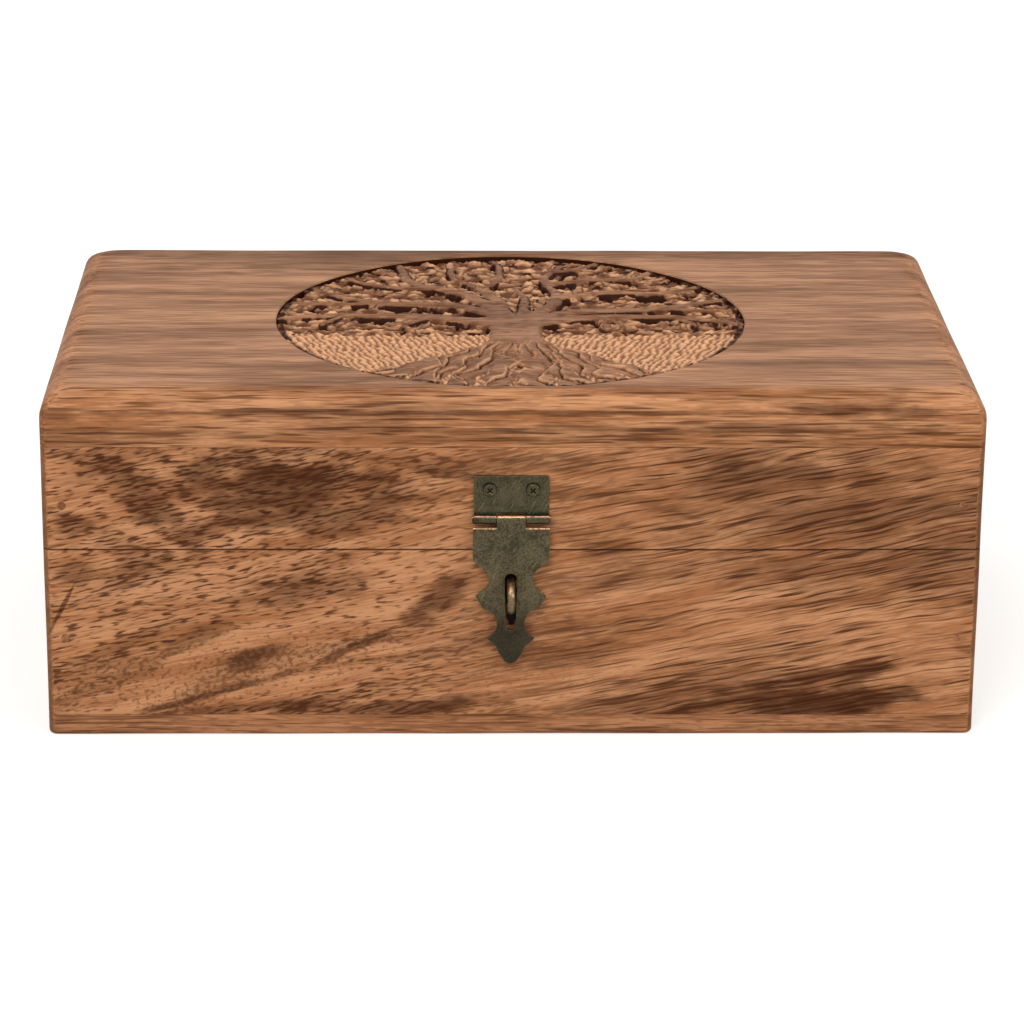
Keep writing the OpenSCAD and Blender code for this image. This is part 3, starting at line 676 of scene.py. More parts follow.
def top_board():
    bm = new_mesh()
    middle = Vector((0, 0))
    ring = bmesh.ops.create_circle(bm, segments=len(outline(0)), radius=1)["verts"]
    place_ring(ring_order(ring, middle), sorted_outline(0), top_low.z)
    bmesh.ops.contextual_create(bm, geom=bm.edges[:])
    edges = bm.edges[:]
    levels = [(0, top_high.z - TOP_ROUND)]
    for i in range(1, ROUND_STEPS + 1):
        a = math.radians(90 * i / ROUND_STEPS)
        levels.append((TOP_ROUND * (1 - math.cos(a)), top_high.z - TOP_ROUND * (1 - math.sin(a))))
    for inset, z in levels:
        ring, edges = draw_out(bm, edges)
        place_ring(ring_order(ring, middle), sorted_outline(inset), z)
    hole = bmesh.ops.create_circle(bm, segments=HOLE_STEPS, radius=CARVE_R + RIM_EASE,
                                   matrix=Matrix.Translation((*CARVE_CENTRE, top_high.z)))["verts"]
    hole_edges = list({e for v in hole for e in v.link_edges})
    bmesh.ops.triangle_fill(bm, edges=edges + hole_edges, use_beauty=True)
    for radius, drop in ((CARVE_R, RIM_EASE), (CARVE_R, WELL_DEEP)):
        hole, hole_edges = draw_out(bm, hole_edges)
        for v in hole:
            spoke = (Vector(v.co.xy) - CARVE_CENTRE).normalized() * radius
            v.co = (*(CARVE_CENTRE + spoke), top_high.z - drop)
    bmesh.ops.contextual_create(bm, geom=hole_edges)
    bmesh.ops.recalc_face_normals(bm, faces=bm.faces)
    inner = [f for f in bm.faces
             if (Vector(f.calc_center_median().xy) - CARVE_CENTRE).length < CARVE_R + RIM_EASE]
    # painted shade: the upright walls of the well are marked dark
    walls = [f for f in inner if abs(f.normal.z) < 0.5]
    mark(bm, "dark", walls)
    under = [e for e in sharp_edges(bm) if max(v.co.z for v in e.verts) < top_low.z + MERGE]
    bevel(bm, under, EASE, 2)
    slices(bm, 0, SLICE)
    slices(bm, 1, SLICE)
    weather(bm)
    return finish_piece(bm, "top_board", "lid", top_wood, ["lid_top"])


top = top_board()
print("top board", len(top.data.polygons), "faces")

# %% [markdown]
# ## The carving
# The tree is cut in relief: its limbs are left at the height of the board, the ground around them is
# chiselled away, and the cuts are darkened with stain, and with painted shade in the pockets under the
# limbs and along the rim. The whole relief is one height for every point of a round field, so the
# distance to the nearest limb or leaf says how high the wood stands.
# A limb is a curve with three control points and a width at both ends, in hundredths of the radius.

# %% Tree plan
LIMBS = [
    # lower bough on the left, with its end and its drooping twigs
    ((-4, -10), (-24, 6), (-58, 4), 11, 6),
    ((-58, 4), (-76, 8), (-98, 0), 6, 4),
    ((-30, 2), (-42, -2), (-46, -11), 4, 2),
    ((-66, 6), (-78, 2), (-80, -9), 3.5, 2),
    # second bough on the left
    ((-3, -2), (-15, 25), (-42, 22), 9, 6),
    ((-42, 22), (-60, 22), (-76, 36), 6, 4),
    ((-60, 25), (-74, 20), (-94, 25), 4.5, 3),
    ((-76, 36), (-82, 42), (-86, 50), 4, 3),
    # third bough on the left
    ((-1, 0), (-12, 40), (-36, 50), 9, 6),
    ((-36, 50), (-46, 56), (-48, 84), 6, 4),
    ((-33, 48), (-52, 44), (-70, 62), 5, 3),
    # middle boughs
    ((0, 0), (-4, 34), (-16, 52), 7, 3.5),
    ((-16, 52), (-30, 66), (-22, 84), 3.5, 2.5),
    ((-12, 46), (2, 62), (-6, 92), 3, 2.5),
    ((3, 0), (10, 26), (4, 48), 4.5, 3),
    # third bough on the right
    ((4, 0), (24, 22), (20, 42), 8, 5),
    ((20, 42), (12, 62), (24, 84), 4, 2.5),
    ((20, 32), (40, 46), (60, 40), 6, 4),
    ((60, 40), (74, 40), (84, 52), 4.5, 3),
    ((18, 54), (34, 64), (50, 62), 5.5, 4),
    ((50, 62), (60, 64), (64, 76), 4.5, 3),
    ((17, 74), (32, 76), (40, 90), 4.5, 3),
    # second bough on the right
    ((6, -3), (26, 16), (52, 14), 9, 6),
    ((52, 14), (72, 16), (95, 32), 6, 4),
    ((68, 18), (80, 12), (97, 13), 4.5, 3),
    # lower bough on the right, with its end and its drooping twigs
    ((6, -10), (24, 5), (50, 4), 11, 6),
    ((50, 4), (74, 7), (98, -8), 6, 4),
    ((34, 3), (44, 1), (47, -11), 4, 2),
    ((66, 5), (76, 0), (79, -9), 3.5, 2),
]
FIELD_R = CARVE_R / MM                  # the radius of the carving, in millimetres
UNIT = FIELD_R / 100
LIMB_STEPS = 8
ROOTS = 8
FAN_AT = -14                            # the roots fan out from here
FAN_COUNT = 6.2                         # folds for each radian of the fan
SCALE_LONG = 27.0                       # millimetres along a root from one fold to the next
ROOT_TOP = -42
ROOT_BEND = -62
ROOT_ANGLES = (236, 305)
TRUNK_AT = 2
TRUNK_HALF = 10.6
WAIST = -24


def bend(limb, t):
    a, b, c = (np.array(p, float) for p in limb[:3])
    return (1 - t) ** 2 * a + 2 * t * (1 - t) * b + t * t * c


def heading(limb, t):
    a, b, c = (np.array(p, float) for p in limb[:3])
    way = (1 - t) * (b - a) + t * (c - b)
    return way / np.linalg.norm(way)


def root(k):
    off = k - (ROOTS - 1) / 2
    angle = math.radians(ROOT_ANGLES[0] + (ROOT_ANGLES[1] - ROOT_ANGLES[0]) * k / (ROOTS - 1))
    return ((TRUNK_AT + off * 4.6, ROOT_TOP), (off * 10, ROOT_BEND),
            (101 * math.cos(angle), 101 * math.sin(angle)), 6.4, 14.5)


def distance_to_limb(u, v, limb):
    """How far each point lies outside a limb, in millimetres. Inside, it is negative."""
    best = np.full(u.shape, 1e9)
    for i in range(LIMB_STEPS):
        t0, t1 = i / LIMB_STEPS, (i + 1) / LIMB_STEPS
        a, b = bend(limb, t0) * UNIT, bend(limb, t1) * UNIT
        w0, w1 = (limb[3] + (limb[4] - limb[3]) * t for t in (t0, t1))
        along = b - a
        t = np.clip(((u - a[0]) * along[0] + (v - a[1]) * along[1]) / (along @ along), 0, 1)
        far = np.hypot(u - a[0] - t * along[0], v - a[1] - t * along[1])
        best = np.minimum(best, far - (w0 + (w1 - w0) * t) * UNIT / 2)
    return best


print("limbs:", len(LIMBS), "roots:", ROOTS)

# %% [markdown]
# Leaves sit in pairs along every limb. A leaf is the overlap of two circles, which gives it two
# points. No two are alike: each leans, grows and rises a little more or less than the last, and
# some are missing, as where a carver's gouge slipped.

# %% Leaf plan
LEAF_SHARES = (0.26, 0.42, 0.58, 0.74, 0.92)
LEAF_LONG = 6.6                         # millimetres
LEAF_WIDE = 2.4
LEAF_LEAN = math.radians(38)


def leaf_places():
    places = []
    for n, limb in enumerate(LIMBS):
        for m, t in enumerate(LEAF_SHARES):
            for side in (-1, 1):
                jitter = math.sin(12.9 * n + 7.3 * m + 2.1 * side)
                other = math.sin(5.7 * n + 3.9 * m + 4.3 * side)
                if other > 0.72:
                    continue
                way = heading(limb, t)
                across = np.array((-way[1], way[0])) * side
                width = (limb[3] + (limb[4] - limb[3]) * t) * UNIT
                start = bend(limb, t) * UNIT + across * width * (0.35 + 0.2 * other)
                angle = math.atan2(way[1], way[0]) + side * LEAF_LEAN * (1 + 0.45 * jitter)
                places.append((start, angle, LEAF_LONG * (1 + 0.28 * other), 0.25 * jitter))
    return places


def distance_to_leaf(u, v, start, angle, length):
    """Distance outside a leaf, and the place along and across it."""
    c, s = math.cos(angle), math.sin(angle)
    along = (u - start[0]) * c + (v - start[1]) * s - length / 2
    across = -(u - start[0]) * s + (v - start[1]) * c
    half, wide = length / 2, LEAF_WIDE / 2
    radius = (half * half + wide * wide) / (2 * wide)
    far = np.hypot(along, np.abs(across) + radius - wide) - radius
    return far, along / half, across


leaves = leaf_places()
print("leaves:", len(leaves))

# %% [markdown]
# The whole relief is worked out once, on a fine raster of heights, as a height map for a carving
# machine would be. Waves that cross each other stand in for the small slips of a hand tool. The
# ground comes first: leafy and uneven under the crown, and rows of beaded gouge cuts in the two
# fields beside the trunk. Deep pockets are cut where a limb or the rim stands behind, and they are
# painted black as shade, with a brown painted shade in front of them, so the undersides of the limbs
# look black from the front.

# %% Relief helpers
RASTER = 0.25     # millimetres
WALL = 0.45
SHOULDER = 1.6
CROWN_FLOOR = -12.6
LEAF_GROUND = -1.5
POCKET_DEEP = -3.4
POCKET_REACH = 4.6
POCKET_STEP = 0.3
FIELD_DEEP = 1.2
FIELD_RIM = 0.4
CUT_GAP = 2.0                                # distance between gouge cuts
BEAD_LONG = 3.5
ROOTS_FROM = -29 * UNIT


def smooth(low, high, x):
    t = np.clip((x - low) / (high - low), 0, 1)
    return t * t * (3 - 2 * t)


def waves(u, v, size, seed):
    """Cheap smooth noise between about -1 and 1: a few crossing sine waves."""
    total = np.zeros_like(u)
    for k in range(6):
        a = seed * 1.7 + k * 2.4
        f = 2 * math.pi / size * (0.6 + 0.21 * k)
        total += np.sin(f * (u * math.cos(a) + v * math.sin(a)) + seed * (k + 1) * 1.3)
    return total / 3.0


def root_folds(u, v):
    """The roots overlap like a fan and like scales. Both shares run from 0 on top to 1 in a fold."""
    away_u, away_v = u - TRUNK_AT * UNIT, v - FAN_AT * UNIT
    reach = np.hypot(away_u, away_v)
    angle = np.arctan2(away_u, -away_v)
    turn = np.abs(angle) * FAN_COUNT + 0.42 * waves(u, v, 21, 12) + 0.07 * waves(u, v, 8, 14) + 0.25
    blade = np.floor(turn) * np.sign(angle)
    fall = reach / SCALE_LONG + 0.37 * blade + 0.24 * waves(u, v, 20, 17) + 0.6 * (turn - np.floor(turn))
    return turn - np.floor(turn), fall - np.floor(fall)


def field_cuts(u, v):
    """Rows of beads, 0 in the cuts and 1 on the crests. They lean away from the trunk."""
    lean = np.where(u < 0, 1.0, -1.0)
    rows = (u * 0.945 + lean * v * 0.326) / CUT_GAP + 0.30 * waves(u, v, 9, 3) + 0.16 * waves(u, v, 3, 7)
    beads = (v * 0.945 - lean * u * 0.326) / BEAD_LONG + 0.5 * np.sin(2.1 * rows) + 0.3 * waves(u, v, 5, 11)
    crest = 0.5 + 0.5 * np.sin(2 * math.pi * rows)
    return crest * (0.42 + 0.58 * (0.5 + 0.5 * np.sin(2 * math.pi * beads)))


def tree_distance(u, v):
    u = u + 0.5 * waves(u, v, 17, 9) + 0.2 * waves(u, v, 4.1, 41)
    v = v + 0.4 * waves(u, v, 13, 10) + 0.28 * waves(u, v, 5.3, 42)
    curl = smooth(ROOTS_FROM, ROOTS_FROM - 8, v)
    ru = u + 1.5 * curl * waves(u, v, 13, 12)
    roots = np.stack([distance_to_limb(ru, v, root(k)) for k in range(ROOTS)]).min(0)
    limbs = np.stack([distance_to_limb(u, v, limb) for limb in LIMBS]).min(0)
    pu, pv = u / UNIT, v / UNIT
    flare = np.where(pv < WAIST, 0.026, 0.010) * (pv - WAIST) ** 2
    trunk = (np.abs(pu - TRUNK_AT) - TRUNK_HALF - flare) * UNIT
    trunk = np.where((pv > -46) & (pv < 1), trunk, 9.0)
    return np.minimum(np.minimum(roots, limbs), trunk)


print("raster of", round(2 * FIELD_R / RASTER), "points a side")

# %% [markdown]
# Every point gets three shares with its height. Stain is a wipe of brown, which in front of each
# pocket also holds painted shade; fresh is the orange wood that the gouge has opened, and there is less
# of it in that shade; and dark is the black of the deepest cuts, with painted shade in the pockets and
# along the rim. The material turns dark into a crisp edge, because the steep side of a limb is only one
# cell wide and would smear it.

# %% Relief
def shifted(values, step):
    """The values as seen this many millimetres further back."""
    return np.roll(values, -int(round(step / RASTER)), axis=1)


def make_relief():
    reach = FIELD_R + 4
    count = int(2 * reach / RASTER)
    line = (np.arange(count) - (count - 1) / 2) * RASTER
    u, v = np.meshgrid(line, line, indexing="ij")
    out = np.hypot(u, v)

    tree = tree_distance(u, v)
    cover = 1 - smooth(0, WALL, tree)
    stands = np.maximum(cover, smooth(FIELD_R - 0.3, FIELD_R + 0.1, out))

    floor_edge = CROWN_FLOOR + 1.8 * waves(u, v, 9, 4)
    crown = smooth(floor_edge - 1.2, floor_edge + 0.8, v)
    open_here = waves(u * 0.9, v, 10, 21) + 0.45 * waves(u, v, 4.5, 22)
    under_rim = smooth(FIELD_R - 5, FIELD_R - 3, out) * smooth(46, 24, np.abs(u))
    wide = np.maximum(smooth(-0.35, 0.75, open_here) * (1 + 0.4 * waves(u, v, 3, 24)), 0.5 * under_rim)
    wide = 0.1 + POCKET_REACH * wide
    # painted shade: where a limb or the rim stands just behind, the ground is cut into a pocket and painted
    # black, and a wider brown shade is painted in front of it
    pocket = np.zeros_like(u)
    shade = np.zeros_like(u)
    for step in np.arange(POCKET_STEP, POCKET_REACH * 2, POCKET_STEP):
        behind = shifted(stands, step)
        pocket = np.maximum(pocket, behind * smooth(wide, wide * 0.55, step))
        shade = np.maximum(shade, behind * smooth(2.0 * wide + 0.6, 0.5 * wide, step))
    pocket *= crown * (1 - cover)
    shade *= crown * (1 - cover)
    lumps = 0.85 * waves(u * 0.62, v, 4.6, 1) + 0.4 * waves(u, v, 2.4, 2)
    leafy = LEAF_GROUND * (1 - 0.45 * smooth(FIELD_R - 9, FIELD_R, out)) + 0.56 * lumps
    dish = smooth(FIELD_R - 16, FIELD_R, out)
    crest = field_cuts(u, v)
    field = -FIELD_DEEP + (FIELD_DEEP - FIELD_RIM) * dish - 0.7 * (1 - crest)
    height = leafy * crown + field * (1 - crown)

    mottle = waves(u, v, 6, 5)
    stain = crown * np.clip(0.56 + 0.4 * mottle - 0.5 * lumps, 0, 0.9)
    stain += (1 - crown) * 0.85 * (1 - crest) ** 2.2
    dark = crown * smooth(-0.45, -0.85, lumps + 0.5 * mottle)
    fresh = crown * np.clip(0.06 + 0.4 * lumps - 0.35 * mottle, 0, 1) + (1 - crown) * (0.7 + 0.3 * crest)

    for start, angle, length, lift in leaves:
        near = np.hypot(u - start[0], v - start[1]) < length + 1.5
        far, along, across = distance_to_leaf(u[near], v[near], start, angle, length)
        rib = np.exp(-(across / 0.3) ** 2)
        top_at = -0.62 + lift + 0.3 * lumps[near] - 0.4 * (across / LEAF_WIDE * 2) ** 2 - 0.25 * rib
        on = (1 - smooth(-0.15, WALL, far)) * crown[near]
        height[near] = np.maximum(height[near], height[near] * (1 - on) + top_at * on)
        edge = np.exp(-((far - 0.3) / 0.4) ** 2) * crown[near]
        stain[near] = np.maximum(stain[near] * (1 - 0.5 * on), 0.8 * edge)
        dark[near] = np.maximum(dark[near] * (1 - on), 0.42 * edge)
        fresh[near] = fresh[near] * (1 - on) + (0.42 + 0.3 * lumps[near]) * on
        pocket[near] *= 1 - 0.7 * on

    height = height * (1 - pocket) + POCKET_DEEP * pocket
    # painted shade: the pockets are painted black
    dark = np.maximum(dark, smooth(0.1, 0.5, pocket))
    # painted shade: brown in front of each pocket, with less opened orange there
    stain = np.maximum(stain, 0.8 * shade)
    fresh = fresh * (1 - 0.7 * shade)

    inside = -tree
    rooted = smooth(ROOTS_FROM - 2, ROOTS_FROM - 8, v)
    fan, scale = root_folds(u, v)
    fold = np.maximum(smooth(0.84, 0.97, fan), 0.8 * smooth(0.9, 0.98, scale))
    fold = fold * rooted * smooth(0.1, 0.7, inside)
    light = np.maximum(smooth(0.16, 0.0, fan), smooth(0.12, 0.0, scale)) * rooted
    bark = 0.1 * waves(u * 0.7, v * 1.3, 5.0, 8) * smooth(0.3, 1.2, inside) * (1 - 0.7 * rooted)
    top_at = -0.5 * (1 - smooth(-0.1, SHOULDER, inside)) ** 1.5 + np.minimum(bark, 0.0)
    top_at -= rooted * (0.75 * fan ** 2 + 0.6 * scale ** 2) + 0.35 * fold
    height = np.maximum(height, height * (1 - cover) + top_at * cover)
    tree_stain = 0.34 * smooth(0.9, 0.0, inside) + 0.12 * smooth(-0.01, -0.1, bark)
    tree_stain += rooted * 0.35 * np.maximum(fan, scale) ** 2 + 0.12 + 0.3 * smooth(0.1, 0.9, mottle)
    tree_stain += 0.12 * crown
    on_tree = smooth(0.12, -0.25, tree)
    stain = stain * (1 - on_tree) + tree_stain * on_tree
    dark = dark * (1 - on_tree) + 0.6 * fold * on_tree
    fresh = fresh * (1 - on_tree) + 0.85 * on_tree * light
    groove = np.exp(-((tree - 0.3) / 0.45) ** 2)
    dark = np.maximum(dark, groove * (0.34 + 0.5 * crown * smooth(-0.3, 0.3, open_here)))
    # painted shade: a dark band round the foot of the rim
    rim = smooth(FIELD_R - 2.8, FIELD_R - 1.6, out)
    dark = np.maximum(dark, rim * (0.56 + 0.2 * mottle))
    return [height] + [np.clip(share, 0, 1) for share in (stain, dark, fresh)]


relief = make_relief()
print("relief from", round(float(relief[0].min()), 2), "to", round(float(relief[0].max()), 2), "mm")

# %% Carving
CELLS = 420
DISC_R = CARVE_R - 0.02 * MM
SHARES = ("stain", "dark", "fresh")


def press_into_disc(a, b):
    """Maps a square from -1 to 1 onto a disc without bunching its cells."""
    wide = np.abs(a) > np.abs(b)
    reach = np.where(wide, a, b)
    safe = np.where(reach == 0, 1, reach)
    turn = np.where(wide, math.pi / 4 * b / safe, math.pi / 2 - math.pi / 4 * a / safe)
    return reach * np.cos(turn), reach * np.sin(turn)


def read_raster(values, u, v):
    """The value of the raster at any place, from its four nearest points."""
    half = (values.shape[0] - 1) / 2
    i, j = u / RASTER + half, v / RASTER + half
    i0, j0 = np.floor(i).astype(int), np.floor(j).astype(int)
    a, b = i - i0, j - j0
    near = values[i0, j0] * (1 - a) + values[i0 + 1, j0] * a
    return near * (1 - b) + (values[i0, j0 + 1] * (1 - a) + values[i0 + 1, j0 + 1] * a) * b


def carving_half(name, side):
    bm = bmesh.new()
    bmesh.ops.create_grid(bm, x_segments=CELLS // 2, y_segments=CELLS, size=1,
                          matrix=Matrix.Translation((side * 0.5, 0, 0)) @ Matrix.Diagonal((0.5, 1, 1, 1)))
    spots = np.array([v.co for v in bm.verts])
    x, y = press_into_disc(spots[:, 0], spots[:, 1])
    height, *shares = (read_raster(r, x * DISC_R / MM, y * DISC_R / MM) for r in relief)
    for share in SHARES:
        bm.verts.layers.float.new(share)
    layers = [bm.verts.layers.float[share] for share in SHARES]
    for i, v in enumerate(bm.verts):
        v.co = (CARVE_CENTRE.x + x[i] * DISC_R, CARVE_CENTRE.y + y[i] * DISC_R, top_high.z + height[i] * MM)
        for layer, share in zip(layers, shares):
            v[layer] = share[i]
    rim = [e for e in bm.edges if e.is_boundary]
    made = bmesh.ops.extrude_edge_only(bm, edges=rim)["geom"]
    for v in made:
        if isinstance(v, bmesh.types.BMVert):
            v.co.z = top_high.z - WELL_DEEP
    bmesh.ops.contextual_create(bm, geom=[e for e in made if isinstance(e, bmesh.types.BMEdge)])
    bmesh.ops.recalc_face_normals(bm, faces=bm.faces)
    weather(bm)
    return finish_piece(bm, name, "lid", top_wood, ["lid_top"], math.radians(70), even=False)


for name, side in (("carving_left", -1), ("carving_right", 1)):
    half = carving_half(name, side)
    print(name, len(half.data.polygons), "faces")

# %% [markdown]
# ## Antique brass
# The hasp is stamped from thin sheet, plated and then darkened, and the dark coat has rubbed through
# to bright copper where fingers and the strap touch it most: along the barrel and the shoulders. A
# thin line of painted highlight in the same copper runs along the top of the barrel and the shoulders.
# The finish has a fine olive mottle, pale specks where the coat is thin, and a few scratches. It is
# metal all over, so its colour is what it reflects.

# %% Brass group
SCRATCH_SLANT = math.radians(58)


def patina_group():
    inputs = [("Place", "Vector", None), ("Coat", "Color", srgb(97, 88, 66)),
              ("Deep", "Color", srgb(62, 56, 43)), ("Bright", "Color", srgb(150, 136, 98)),
              ("Copper", "Color", srgb(240, 176, 140)), ("Edge", "Float", 0.0), ("Shade and Darkening", "Float", 0.0)]
    tree, given, out = new_group("antique_patina", inputs,
                                 [("Color", "Color"), ("Roughness", "Float"), ("Height", "Float")])
    g = Graph(tree)
    place = given["Place"]
    cloud = g.noise(place, 0.22, 3.0, 0.6)
    grain = g.noise(place, 2.1, 3.0, 0.65)
    tone = g.times_plus(grain, 1.3, g.times(cloud, 0.8))
    color = g.mix(g.step(tone, 0.82, 1.26), given["Deep"], given["Coat"])
    thin = g.vector("MULTIPLY", g.turned(place, SCRATCH_SLANT), (0.25, 1.0, 3.2))
    speck = g.step(g.noise(thin, 1.0, 3.0, 0.7), 0.60, 0.70)
    color = g.mix(g.times(speck, 0.5), color, given["Bright"])
    # painted shade in the screws' recesses, and the darker foot of the strap
    color = g.mix(given["Shade and Darkening"], color, srgb(42, 37, 31))
    # Edge carries wear and painted highlight: edges are painted lighter, and bright copper where it is high
    patchy = g.times_plus(given["Edge"], 0.6, g.noise(place, 1.1, 3.0, 0.6))
    rub_and_highlight = g.times(g.step(patchy, 0.72, 1.02), g.minus(1.0, given["Shade and Darkening"]))
    color = g.mix(g.step(given["Edge"], 0.0, 0.6, 0.0, 0.55), color, given["Bright"])
    color = g.mix(rub_and_highlight, color, given["Copper"])
    g.link(color, out["Color"])
    coat = g.times_plus(grain, 0.2, 0.32)
    g.link(g.minus(coat, g.times(rub_and_highlight, 0.2)), out["Roughness"])
    g.link(grain, out["Height"])
    return tree


antique_patina = patina_group()
print("patina group:", len(antique_patina.nodes), "nodes")

# %% Brass and nail materials
DARK_FOOT_HIGH = 41.5                        # the strap gets darker below this height, in millimetres
DARK_FOOT_LOW = 33.0
HASP_X = -0.6                           # the middle of the hasp
SHOULDER_TOP = (60.62, 60.85)           # the strap's shoulders get a painted highlight, with some wear, from here up
NECK_HALF = (3.7, 4.1)                  # and outside the neck that stands between them


def brass_material(name, dark_foot=False, **tones):
    material, g, shader = new_material(name)
    place = g.place()
    patina = g.add("Group", {"Place": place, **tones}, node_tree=antique_patina)
    wear_and_highlight = g.attribute("wear_and_highlight")
    shade_and_darkening = g.attribute("shade_and_darkening")
    # the strap is painted darker towards its foot
    if dark_foot:
        height = g.split(place)[2]
        shade_and_darkening = g.larger(shade_and_darkening, g.step(height, DARK_FOOT_LOW, DARK_FOOT_HIGH, 0.7, 0.0))
        # painted highlight, with some wear, along the top edges of the shoulders
        aside = g.math("ABSOLUTE", g.minus(g.split(place)[0], HASP_X))
        shoulder = g.times(g.step(height, *SHOULDER_TOP), g.step(aside, *NECK_HALF))
        wear_and_highlight = g.larger(wear_and_highlight, g.times(shoulder, 0.6))
    g.link(wear_and_highlight, patina.inputs["Edge"])
    g.link(shade_and_darkening, patina.inputs["Shade and Darkening"])
    g.link(patina.outputs["Color"], shader.inputs["Base Color"])
    g.link(patina.outputs["Roughness"], shader.inputs["Roughness"])
    g.bump(shader, patina.outputs["Height"], 0.4, 0.05 * MM)
    shader.inputs["Metallic"].default_value = 1.0
    return material


def nail_material():
    """Nail heads that were set under the surface and filled with brown wax."""
    material, g, shader = new_material("filled_nail")
    place = g.place()
    mottle = g.noise(place, 0.9, 3.0, 0.6)
    color = g.mix(g.step(mottle, 0.38, 0.62), srgb(122, 76, 48), srgb(170, 114, 76))
    g.link(g.mix(g.times(g.attribute("wear_and_highlight"), 0.6), color, GRIME), shader.inputs["Base Color"])
    g.link(g.step(mottle, 0.3, 0.7, 0.75, 0.55), shader.inputs["Roughness"])
    shader.inputs["Specular IOR Level"].default_value = 0.25
    return material


brass = brass_material("antique_brass", Coat=srgb(86, 79, 59), Deep=srgb(56, 51, 40))
strap_brass = brass_material("antique_brass_strap", dark_foot=True)
nail = nail_material()
print("metals:", brass.name, strap_brass.name, nail.name)

# %% [markdown]
# ## Metal pieces
# The imported pieces already have the right outlines, but their edges are knife sharp. A stamped edge
# is rounded, and that tiny round is what catches the light and what rubs bright; the edges are also
# painted lighter, as painted highlight. Each piece is copied, its loose triangles are merged into
# faces, and every sharp edge gets a bevel. How worn a face is depends on where it lies, and faces that
# look up get more painted highlight: near the hasp's barrel they are painted bright copper.

# %% Metal helpers
FLAT_ANGLE = math.radians(0.6)
STRAIGHT = 0.9999
SAME_PLANE = 0.01 * MM
MANY_CORNERS = 16
BARREL = Vector((HASP_X, -77.45, 63.3)) * MM   # the hasp's pin
BARREL_NEAR = 4.6 * MM
BARREL_R = 2.2 * MM                     # everything on the barrel is nearer to its pin than this
SHINE = (0.60, 0.88)                    # how much a face on the barrel looks up where a thin painted highlight runs, in copper
RECESS_R = 1.35 * MM


def wear_and_highlight_of(face, is_edge, rub_and_highlight):
    """How much of the dark coat is gone, with painted highlight added on edges and on faces that look up.
    From about 0.7 on, bare copper shows in patches.
    """
    centre = face.calc_center_median()
    up = max(face.normal.z, 0)
    if abs(centre.z - BARREL.z) < BARREL_NEAR and centre.y < 0:
        if math.hypot(centre.y - BARREL.y, centre.z - BARREL.z) < BARREL_R:
            # painted highlight: a thin copper line along the top of the barrel
            return 0.7 if SHINE[0] < up < SHINE[1] and face.normal.y < 0 else 0.0
        # painted highlight: faces near the barrel that look up are painted copper
        return 0.72 * up if up > 0.5 else max(0.3 * is_edge, rub_and_highlight)
    # painted highlight: edges, and faces that look up, get more
    return max(0.22 + 0.2 * up if is_edge else 0.0, rub_and_highlight * (0.6 + 0.6 * up))


def paint_recess_shade(bm):
    """The cross in a screw's head is painted dark as shade. Each screw is found by the side it is on."""
    for side in (-1, 1):
        mine = [f for f in bm.faces if (f.calc_center_median().x - BARREL.x) * side > 0]
        heads = [f.calc_center_median() for f in mine]
        if not heads:
            continue
        front = min(c.y for c in heads)
        x = (min(c.x for c in heads) + max(c.x for c in heads)) / 2
        z = (min(c.z for c in heads) + max(c.z for c in heads)) / 2
        deep = [f for f, c in zip(mine, heads)
                if math.hypot(c.x - x, c.z - z) < RECESS_R and c.y > front + 0.09 * MM]
        mark(bm, "shade_and_darkening", deep)
        mark(bm, "wear_and_highlight", deep, 0.0)


def flat_faces(bm):
    """Upright faces in one plane, for each plane where one of them has many corners."""
    planes = {}
    for face in bm.faces:
        if abs(face.normal.y) > STRAIGHT:
            key = (round(face.calc_center_median().y / SAME_PLANE), face.normal.y > 0)
            planes.setdefault(key, []).append(face)
    return [faces for faces in planes.values() if max(len(f.verts) for f in faces) > MANY_CORNERS]


def refill_flats(bm):
    """Fills flat faces that have a hole in them again with triangles, so that none folds over itself."""
    for faces in flat_faces(bm):
        normal = faces[0].normal.copy()
        edges = {e for f in faces for e in f.edges}
        bmesh.ops.delete(bm, geom=faces, context="FACES_ONLY")
        bmesh.ops.delete(bm, geom=[e for e in edges if not e.link_faces], context="EDGES")
        rim = [e for e in edges if e.is_valid]
        bmesh.ops.triangle_fill(bm, edges=rim, use_beauty=True, normal=normal)
    bm.normal_update()


def softened(name, node, body, material, width, recess=False, rub_and_highlight=0.0):
    bm = new_mesh()
    bm.from_mesh(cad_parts[node].data)
    bmesh.ops.remove_doubles(bm, verts=bm.verts, dist=1e-7)
    bmesh.ops.dissolve_limit(bm, angle_limit=FLAT_ANGLE, verts=bm.verts, edges=bm.edges)
    rounded = set(bevel(bm, sharp_edges(bm, math.radians(40)), width, 2))
    bm.normal_update()
    refill_flats(bm)
    for face in bm.faces:
        is_edge = face in rounded
        rub_and_highlight_here = rub_and_highlight if is_edge or rub_and_highlight > 0.5 else 0
        mark(bm, "wear_and_highlight", [face], wear_and_highlight_of(face, is_edge, rub_and_highlight_here))
    if recess:
        paint_recess_shade(bm)
    return finish_piece(bm, name, body, material, [node])


print("barrel at", [round(c / MM, 2) for c in BARREL])

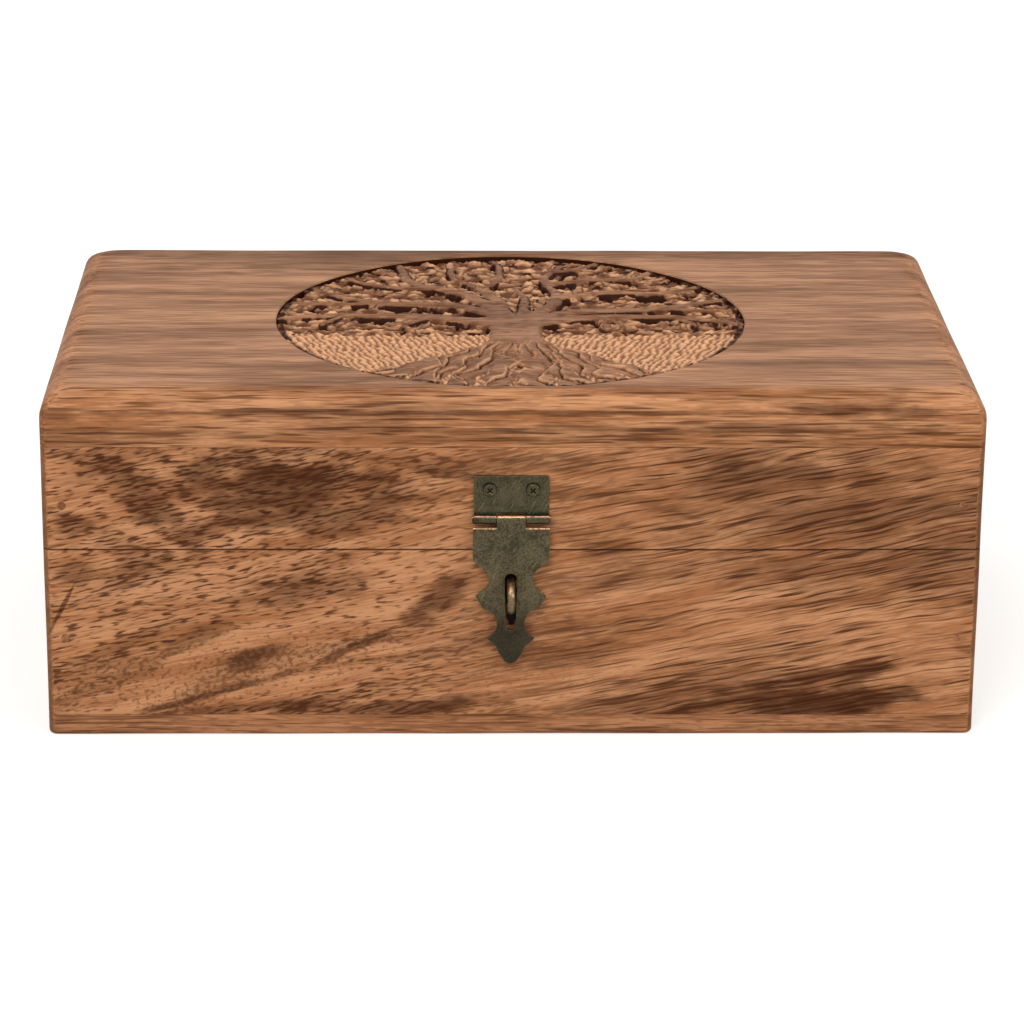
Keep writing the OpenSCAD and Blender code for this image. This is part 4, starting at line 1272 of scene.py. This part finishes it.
# %% Metal pieces
HINGE = (("hinge_leaf_low", "base_leaf", "base"), ("hinge_leaf_high", "lid_leaf", "lid"),
         ("hinge_pin_on", "pin", "base"))
METAL = [
    ("hasp_fixed_plate", "hasp_plate", "lid", "hasp_brass", brass, 0.11),
    ("hasp_rivet_pin", "hasp_pin", "lid", "hasp_brass", brass, 0.10),
    ("hasp_swing_strap", "hasp_strap", "hasp", "hasp_brass", strap_brass, 0.13),
    *((f"{piece}_{side}", f"hinge_{side}_{part}", body, "hinge_brass", brass, 0.12)
      for piece, part, body in HINGE for side in ("left", "right")),
    ("hinge_screws_low", "hinge_base_screws", "base", "hinge_brass", brass, 0.05),
    ("hinge_screws_high", "hinge_lid_screws", "lid", "hinge_brass", brass, 0.05),
    ("corner_nails_low", "base_corner_nails", "base", "nail_iron", nail, 0.12),
    ("corner_nails_high", "lid_corner_nails", "lid", "nail_iron", nail, 0.12),
    ("bottom_board_nails", "bottom_nails", "base", "nail_iron", nail, 0.12),
]
# painted highlight: the rims of the screw heads are painted lighter and coppery
screws = softened("hasp_plate_screws", "hasp_screws", "lid", brass, 0.1 * MM, recess=True,
                  rub_and_highlight=0.35)
# painted highlight: the wire's faces that look up are painted copper
wire = softened("staple_wire", "staple", "base", brass, 0.1 * MM, rub_and_highlight=0.51)
print(screws.name, len(screws.data.polygons), "faces,", wire.name, len(wire.data.polygons), "faces")
for name, node, body, slot, material, width in METAL:
    made = softened(name, node, body, material, width * MM)
    print(name, len(made.data.polygons), "faces")

# %% [markdown]
# ## Floor and light
# The box stands on a plain white sweep. The floor takes the shadow, and to the camera it also glows
# a little, so that it reads as white paper without more light on the box. The world does the same:
# it lights softly, but the camera and the metal see it as white.

# %% Floor and light
PAPER = (1.0, 1.0, 0.985, 1)
WORLD_LIGHT = 0.62
FLOOR_GLOW = 0.58
FLOOR_SIZE = 6.0
LIT_PLACE = Vector((0, 0, 0.05))        # both lamps look at the middle of the box


def seen_directly(g):
    """1 for camera, glossy and transmission rays, 0 for the light that falls on things."""
    path = g.add("LightPath").outputs
    seen = g.larger(path["Is Camera Ray"], path["Is Glossy Ray"])
    return g.larger(seen, path["Is Transmission Ray"])


def make_floor():
    bm = bmesh.new()
    bmesh.ops.create_grid(bm, x_segments=1, y_segments=1, size=FLOOR_SIZE / 2)
    mesh = bpy.data.meshes.new("floor")
    bm.to_mesh(mesh)
    bm.free()
    material = bpy.data.materials.new("paper")
    g = empty_graph(material)
    matte = g.add("BsdfDiffuse", {"Color": (0.62, 0.62, 0.61, 1)})
    strength = g.times(seen_directly(g), FLOOR_GLOW)
    glow = g.add("Emission", {"Color": PAPER, "Strength": strength})
    both = g.add("AddShader", {0: matte.outputs[0], 1: glow.outputs[0]})
    output = g.add("OutputMaterial")
    g.link(both.outputs[0], output.inputs[0])
    mesh.materials.append(material)
    new_object("floor", mesh)


def make_world():
    world = bpy.data.worlds.new("white_room")
    g = empty_graph(world)
    strength = g.step(seen_directly(g), 0.0, 1.0, WORLD_LIGHT, 1.0)
    background = g.add("Background", {"Color": PAPER, "Strength": strength})
    output = g.add("OutputWorld")
    g.link(background.outputs[0], output.inputs[0])
    bpy.context.scene.world = world


def soft_light(name, at, size, power):
    lamp = bpy.data.lights.new(name, "AREA")
    lamp.size = size
    lamp.energy = power
    light = new_object(name, lamp)
    light.location = at
    light.rotation_euler = (LIT_PLACE - Vector(at)).to_track_quat("-Z", "Y").to_euler()


make_floor()
make_world()
soft_light("key", (-0.5, -1.3, 1.5), 0.7, 13)
soft_light("fill", (1.1, -0.9, 0.9), 0.9, 5)
bpy.context.scene.view_settings.view_transform = "Standard"
